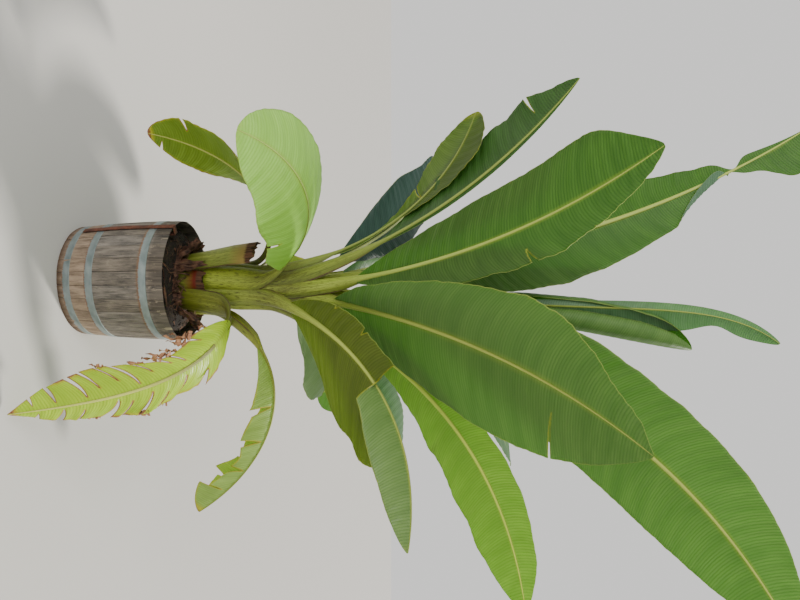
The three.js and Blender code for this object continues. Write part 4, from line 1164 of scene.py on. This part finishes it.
def litter():
    shape, _ = new_shape()
    chance = random.Random(11)
    for k, (azimuth, reach, width, height, lean) in enumerate(FLAPS):
        turn = math.radians(azimuth)
        add_flap(shape, plant_foot(turn, reach, -0.012), around(1, turn, 0), width, height, lean, 30 + k)
    for k in range(STRINGS):
        turn = chance.uniform(-math.pi, math.pi)
        start = chance.uniform(0.11, 0.15)
        height = chance.uniform(0.005, 0.075)
        reach = chance.uniform(0.02, 0.1)
        sweep = chance.uniform(-0.6, 0.6)
        points = []
        for j in range(9):
            share = j / 8
            wavy = 1 + 0.5 * noise_at(k, share * 2, 0)
            level = 0.003 + height * math.cos(share * math.pi * 0.5) * wavy
            points.append(plant_foot(turn + sweep * share, start + reach * share, level))
        add_ribbon(shape, points, chance.uniform(0.003, 0.014), k)
    for k in range(SCRAPS):
        turn = chance.uniform(-math.pi, math.pi)
        radius = chance.uniform(0.17, 0.25)
        heading = chance.uniform(0, math.pi)
        length = chance.uniform(0.02, 0.07)
        points = []
        for j in range(5):
            step = (j / 4 - 0.5) * length
            place = around(radius, turn, 0) + around(step, heading, 0)
            level = soil_level(place.xy.length, math.atan2(place.y, place.x))
            points.append(Vector((place.x, place.y, level + 0.004)))
        add_ribbon(shape, points, chance.uniform(0.003, 0.010), 100 + k)
    start, end = STEM
    stem = [Vector(start).lerp(Vector(end), j / 8) + Vector((0, 0.003 * math.sin(j), 0)) for j in range(9)]
    add_ribbon(shape, stem, STEM_WIDTH, 200)
    return shape


dead_string = new_finish("dead fibre strings", dead_leaf_paper, "76523e", "22130e", (14, 3, 1))
place_piece("fibre_strings", litter(), [dead_string])


# Blades: each half is a thin sheet, stiffened by side veins that leave the rib close together and
# curve to the margin. Wind tears it along them, and the torn edges and margins dry to tan paper.
ACROSS = 30  # cells from margin to margin
ROW_STEP = 0.0056
VEIN_SPACING = 0.013
VEIN_SWEEP = 0.12
SWELL_SPACING = 0.047
SWELL_HEIGHT = 0.0012
FLAP_TURN = math.radians(-160)
CREASE_WIDTH = 0.12
BLADE_THICKNESS = 0.0011
TEAR_REACH = 0.06  # how far beside a tear the blade is drawn back
SWING_FROM = 0.3  # the share from rib to margin at which strips begin to swing
CROWDING = 0.8  # how much closer the rows are towards both ends
BLADE_END = 0.9985
WIDE = 0.10  # a half this wide or wider waves fully
SWAY = 0.016
FLUTTER = 0.004
DRY_MARGIN = 0.82  # beyond this share of the way from rib to margin the blade dries
DRY_TIP = 0.94  # and beyond this share of its length


def tear_blade(shape, leaf, row_shares, row_layer):
    """Opens the leaf's tears in its flat blade, where x runs across it and y is the rib's share."""
    for side, at, depth, gap in leaf.tears:
        row = min(range(len(row_shares)), key=lambda k: abs(row_shares[k] - at))
        inner = 1 - depth
        cut = [
            e for e in shape.edges
            if all(v[row_layer] == row and v.co.x * side > inner - 1 / ACROSS for v in e.verts)
            and e.verts[0].co.x != e.verts[1].co.x
        ]
        bmesh.ops.split_edges(shape, edges=cut)
        for vert in shape.verts:
            beyond = (vert.co.x * side - inner) / depth
            if beyond <= 0.001 or abs(vert.co.y - at) * leaf.length > 5 * TEAR_REACH:
                continue
            if vert[row_layer] == row:
                faces = vert.link_faces
                mean = sum(sum(v[row_layer] for v in f.verts) / len(f.verts) for f in faces) / len(faces)
                away = 1 if mean > row else -1
            else:
                away = 1 if vert[row_layer] > row else -1
            fade = math.exp(-abs(vert.co.y - at) * leaf.length / TEAR_REACH)
            vert.co.y += away * 0.5 * gap / leaf.length * beyond * fade


def strip_swing(leaf, s, q, seed):
    """How far the strip between two tears that holds this place swings up or down."""
    if not leaf.swing or abs(q) < SWING_FROM:
        return 0
    strip = sum(1 for side, at, _, _ in leaf.tears if side * q > 0 and s > at)
    turn = noise_at(strip * 3.7 + 0.5, seed, 1 if q > 0 else 9) * 2
    return leaf.swing * turn * (abs(q) - SWING_FROM)


def half_angle(leaf, s, side, reach, start):
    """The slope of a half's section at a share of the way from rib to margin."""
    angle = start - 2 * leaf.bow * reach
    if leaf.flap:
        flap_side, start_at, end_at = leaf.flap
        if flap_side == side and start_at < s < end_at:
            crease = (end_at - s) / (end_at - start_at)
            angle += FLAP_TURN * ease((reach - crease) / CREASE_WIDTH)
    return angle


def half_section(leaf, s, side, reach, start):
    """How far out and up a half's section stands there, in shares of its width, and its slope."""
    cells = max(1, round(reach * ACROSS / 2))
    out = rise = 0
    for j in range(cells):
        angle = half_angle(leaf, s, side, (j + 0.5) * reach / cells, start)
        out += math.cos(angle) * reach / cells
        rise += math.sin(angle) * reach / cells
    return out, rise, half_angle(leaf, s, side, reach, start)


def blade_shape(leaf, seed):
    shape, surface, dry_layer = new_shape("dry")
    row_layer = shape.verts.layers.int.new("row")
    rows = max(40, round((1 - leaf.petiole) * leaf.length / ROW_STEP))
    bmesh.ops.create_grid(shape, x_segments=ACROSS, y_segments=rows, size=1)
    row_shares = []
    for k in range(rows + 1):
        t = k / rows
        t -= CROWDING * math.sin(2 * math.pi * t) / (2 * math.pi)
        row_shares.append(mix(leaf.petiole, BLADE_END, t))
    for vert in shape.verts:
        vert[row_layer] = round((vert.co.y + 1) / 2 * rows)
        vert.co.y = row_shares[vert[row_layer]]
    for face in shape.faces:
        for loop in face.loops:
            q, s = loop.vert.co.x, loop.vert.co.y
            swept = VEIN_SWEEP * leaf.half_width(s, q) * abs(q) ** 1.5
            loop[surface].uv = (q / 2 + 0.5, s * leaf.length - swept)
    tear_blade(shape, leaf, row_shares, row_layer)
    edge_verts = {v for e in shape.edges if e.is_boundary for v in e.verts}
    torn = {v for v in edge_verts if 0.2 < abs(v.co.x) < 0.999}
    for vert in shape.verts:
        q, s = vert.co.x, vert.co.y
        side = -1 if q < 0 else 1
        hand = 0 if q < 0 else 1
        reach_share = abs(q)
        point, along, right, up = leaf.frame(s)
        t = leaf.blade_share(s)
        length = s * leaf.length
        fold = mix(leaf.fold[2 * hand], leaf.fold[2 * hand + 1], t)
        if leaf.has_dropped(s, q):
            fold = leaf.drop["fold"]
        half = leaf.half_width(s, q) * (1 + 0.02 * noise_at(length * 9, side, seed))
        out, rise, turned_to = half_section(leaf, s, side, reach_share, math.radians(fold) + leaf.bow)
        rise += strip_swing(leaf, s, q, seed) * reach_share
        spread = min(1, half / WIDE)
        vein_place = length - VEIN_SWEEP * half * reach_share ** 1.5
        drift = 4 * noise_at(length * 4, q, seed)
        swell = math.sin(2 * math.pi * vein_place / SWELL_SPACING + drift)
        ripple = SWELL_HEIGHT * swell * min(1, 5 * reach_share) * spread * min(1, leaf.ruffle)
        sway = noise_at(length * 6.5, side * 4, seed + 20)
        flutter = noise_at(length * 21, side * 4, seed + 30)
        waves = leaf.ruffle * spread ** 2 * reach_share ** 2 * (SWAY * sway + FLUTTER * flutter)
        normal_out, normal_up = -side * math.sin(turned_to), math.cos(turned_to)
        lift = ripple + waves
        rib = STALK_SHARE * leaf.rib_half_width(s) * 0.5
        ahead = leaf.sweep[hand] * half * q * q * (1 - t ** 4)
        vert.co = (
            point + right * (rib * q + side * half * out + lift * normal_out)
            + up * (half * rise + lift * normal_up) + along * ahead)
        to_tip = ease((t - DRY_TIP) / (1 - DRY_TIP))
        patch = 0.5 + noise_at(length * 7, side, seed + 3) * 0.9
        margin = max(0, reach_share - DRY_MARGIN) / (1 - DRY_MARGIN)
        dry = leaf.dried * (margin ** 2 * patch * 1.2 + to_tip * 0.9)
        if vert in torn:
            dry = max(dry, 0.25 + 0.6 * leaf.dried, 0.9 if reach_share > 0.94 else 0)
        vert[dry_layer] = min(1, max(0, dry))
    return shape


BLADE_COLOURS = {  # upper side fresh and shaded, lower side fresh and shaded, and light through it
    "green": ("7b9f72", "567d55", "7fa356", "527a3a", "92d024"),
    "khaki": ("93b56c", "6f9450", "7e8e34", "566420", "a0bc24"),
    "pale": ("c2f07c", "a0d454", "a8d058", "7ea83a", "c8f83c"),
    "yellow": ("d2ec40", "a4cc28", "ccdf44", "98b82c", "e8ff38"),
    # deep: a copy of green whose lower side is darker and more saturated, partly painted shade
    "deep": ("7b9f7c", "567d5c", "5e8238", "3a5c24", "70b01a"),
    "fresh": ("7b9f72", "567d55", "98bc4c", "6c9432", "b0e828"),
    "greyish": ("a4b890", "84a070", "8fb060", "6c8c44", "b0d860"),
    "fading": ("b0cc6c", "8aa84c", "9cb44c", "7a9238", "c8e844"),
    "shady": ("66905a", "40663c", "527a3c", "36582a", "78b02c"),
    "tired": ("8aa454", "66803c", "6c8438", "4c6426", "90b028"),
    "olive": ("9cb454", "789040", "90aa44", "6a842e", "c4dc3c"),
    # dark: painted shade, the colours of a leaf that lies in the shade of the others
    "dark": ("46645a", "2a463c", "385c42", "22402c", "4c8038"),
}
UPPER_SHINE = 0.36
LOWER_SHINE = 0.5


def blade_skin(add, fresh, shade, glow, shine):
    """Living banana leaf: fine pale and dark side veins over bands of painted light and shade for the ridges
    between them, a thin pale margin, a soft waxy shine, and light through it; its margins, torn edges and tip
    dry through yellow to tan and brown paper."""
    surface = add("UVMap", uv_map="surface")[0]
    vein, tone, specks = (
        add("TexNoise", {
            "Vector": add("Mapping", {"Vector": surface, "Scale": scale})[0],
            "Scale": 1, "Detail": detail})[0]
        for scale, detail in (((3, 130, 1), 2), ((1.6, 13, 1), 3), ((40, 90, 1), 3))
    )
    # painted light and shade of the ridges between the side veins: soft bands at VEIN_SPACING, under the fine
    # vein lines
    band = add("TexWave", {
        "Vector": surface, "Scale": WAVE_METRE / VEIN_SPACING, "Distortion": 1.4, "Detail": 2,
        "Detail Scale": 1.3}, bands_direction="Y", wave_profile="SIN")[1]
    ridge_shade_bands = add("Math", {0: band, 1: 0.4}, operation="POWER")[0]
    stripes = add("Math", {0: vein, 1: 1.1, 2: ridge_shade_bands}, operation="MULTIPLY_ADD")[0]
    share = add("MapRange", {0: stripes, 1: 0.35, 2: 1.6})[0]
    cloudy = add("MapRange", {0: tone, 1: 0.36, 2: 0.66, 4: 0.5})[0]
    across = add("SeparateXYZ", {0: surface})["X"]
    to_rib = add("Math", {0: across, 1: 0.5}, operation="SUBTRACT")[0]
    off_rib = add("Math", {0: to_rib}, operation="ABSOLUTE")[0]
    near_rib = add("MapRange", {0: off_rib, 1: 0.05, 2: 0, 4: 0.5})[0]
    rim = add("MapRange", {0: off_rib, 1: 0.4945, 2: 0.4985, 4: 0.8})[0]
    dry = add("Attribute", attribute_name="dry")["Fac"]
    ragged = add("Math", {0: specks, 1: 0.35, 2: dry}, operation="MULTIPLY_ADD")[0]
    yellowing = add("MapRange", {0: ragged, 1: 0.24, 2: 0.52})[0]
    dead = add("MapRange", {0: ragged, 1: 0.56, 2: 0.70})[0]
    brown = add("Mix", {0: share, 6: "7a4a2c", 7: "c99468"}, data_type="RGBA")[2]
    colour = add("Mix", {0: share, 6: shade, 7: fresh}, data_type="RGBA")[2]
    for mask, over in (
            (cloudy, shade), (near_rib, "b4c24a"), (rim, "c8cf6a"), (yellowing, "c9c23c"), (dead, brown)):
        colour = add("Mix", {0: mask, 6: colour, 7: over}, data_type="RGBA")[2]
    through = colour
    for mask, over in ((0.5, glow), (dead, "a8703c")):
        through = add("Mix", {0: mask, 6: through, 7: over}, data_type="RGBA")[2]
    rough = add("MapRange", {0: dead, 3: shine, 4: 0.85})[0]
    bump = add("Bump", {"Height": stripes, "Strength": 0.6, "Distance": 0.0010})[0]
    skin = add("BsdfPrincipled", {"Base Color": colour, "Roughness": rough, "Normal": bump, "IOR": 1.4})
    clear = add("BsdfTranslucent", {"Color": through, "Normal": bump})
    return add("MixShader", {0: 0.5, 1: skin[0], 2: clear[0]})[0]


blade_skins = {
    looks: [
        new_finish(f"{looks} leaf upper side", blade_skin, upper, upper_shade, glow, UPPER_SHINE),
        new_finish(f"{looks} leaf lower side", blade_skin, lower, lower_shade, glow, LOWER_SHINE),
    ]
    for looks, (upper, upper_shade, lower, lower_shade, glow) in BLADE_COLOURS.items()
}
blades = {}
for number, leaf in enumerate(LEAVES):
    blade = place_piece(
        leaf.name + "_blade", blade_shape(leaf, number), blade_skins[leaf.looks], leaf_nodes(leaf),
        turn_faces=False)
    blades[leaf.name] = blade
    sheet = blade.modifiers.new("thickness", "SOLIDIFY")
    sheet.thickness = BLADE_THICKNESS
    sheet.offset = -1
    sheet.material_offset = 1


# Shreds: bits of the hanging leaf's margins that died first. They have dried to tan paper and hang
# by their side veins.
SHREDS = (  # side, share of the rib, length and width
    (1, 0.10, 0.035, 0.020), (1, 0.165, 0.100, 0.050), (1, 0.185, 0.120, 0.056), (1, 0.205, 0.090, 0.050),
    (1, 0.275, 0.080, 0.036), (1, 0.31, 0.110, 0.044), (1, 0.34, 0.090, 0.040), (1, 0.40, 0.070, 0.030),
    (1, 0.52, 0.060, 0.030), (-1, 0.36, 0.050, 0.036), (-1, 0.44, 0.070, 0.040), (-1, 0.455, 0.050, 0.030),
    (-1, 0.62, 0.050, 0.030),
)


def hanging_shreds(leaf, blade):
    shape, _ = new_shape()
    places = blade.data.uv_layers["surface"].data
    for k, (side, at, length, width) in enumerate(SHREDS):
        wanted = Vector((0.5 + 0.49 * side, at * leaf.length))
        loop = min(blade.data.loops, key=lambda loop: (places[loop.index].uv - wanted).length)
        top = blade.data.vertices[loop.vertex_index].co
        points = []
        for j in range(8):
            sway = Vector((noise_at(k, j * 0.4, 1), noise_at(k, j * 0.4, 5), 0))
            points.append(top + 0.025 * sway * j / 7 - Vector((0, 0, length * j / 7)))
        add_ribbon(shape, points, width, 300 + k)
    return shape


hanging = next(leaf for leaf in LEAVES if leaf.name == "hanging_front_right")
dead_margin = new_finish("dead leaf margin", dead_leaf_paper, "c8966e", "80503a", (14, 3, 1))
place_piece("dry_shreds", hanging_shreds(hanging, blades[hanging.name]), [dead_margin])
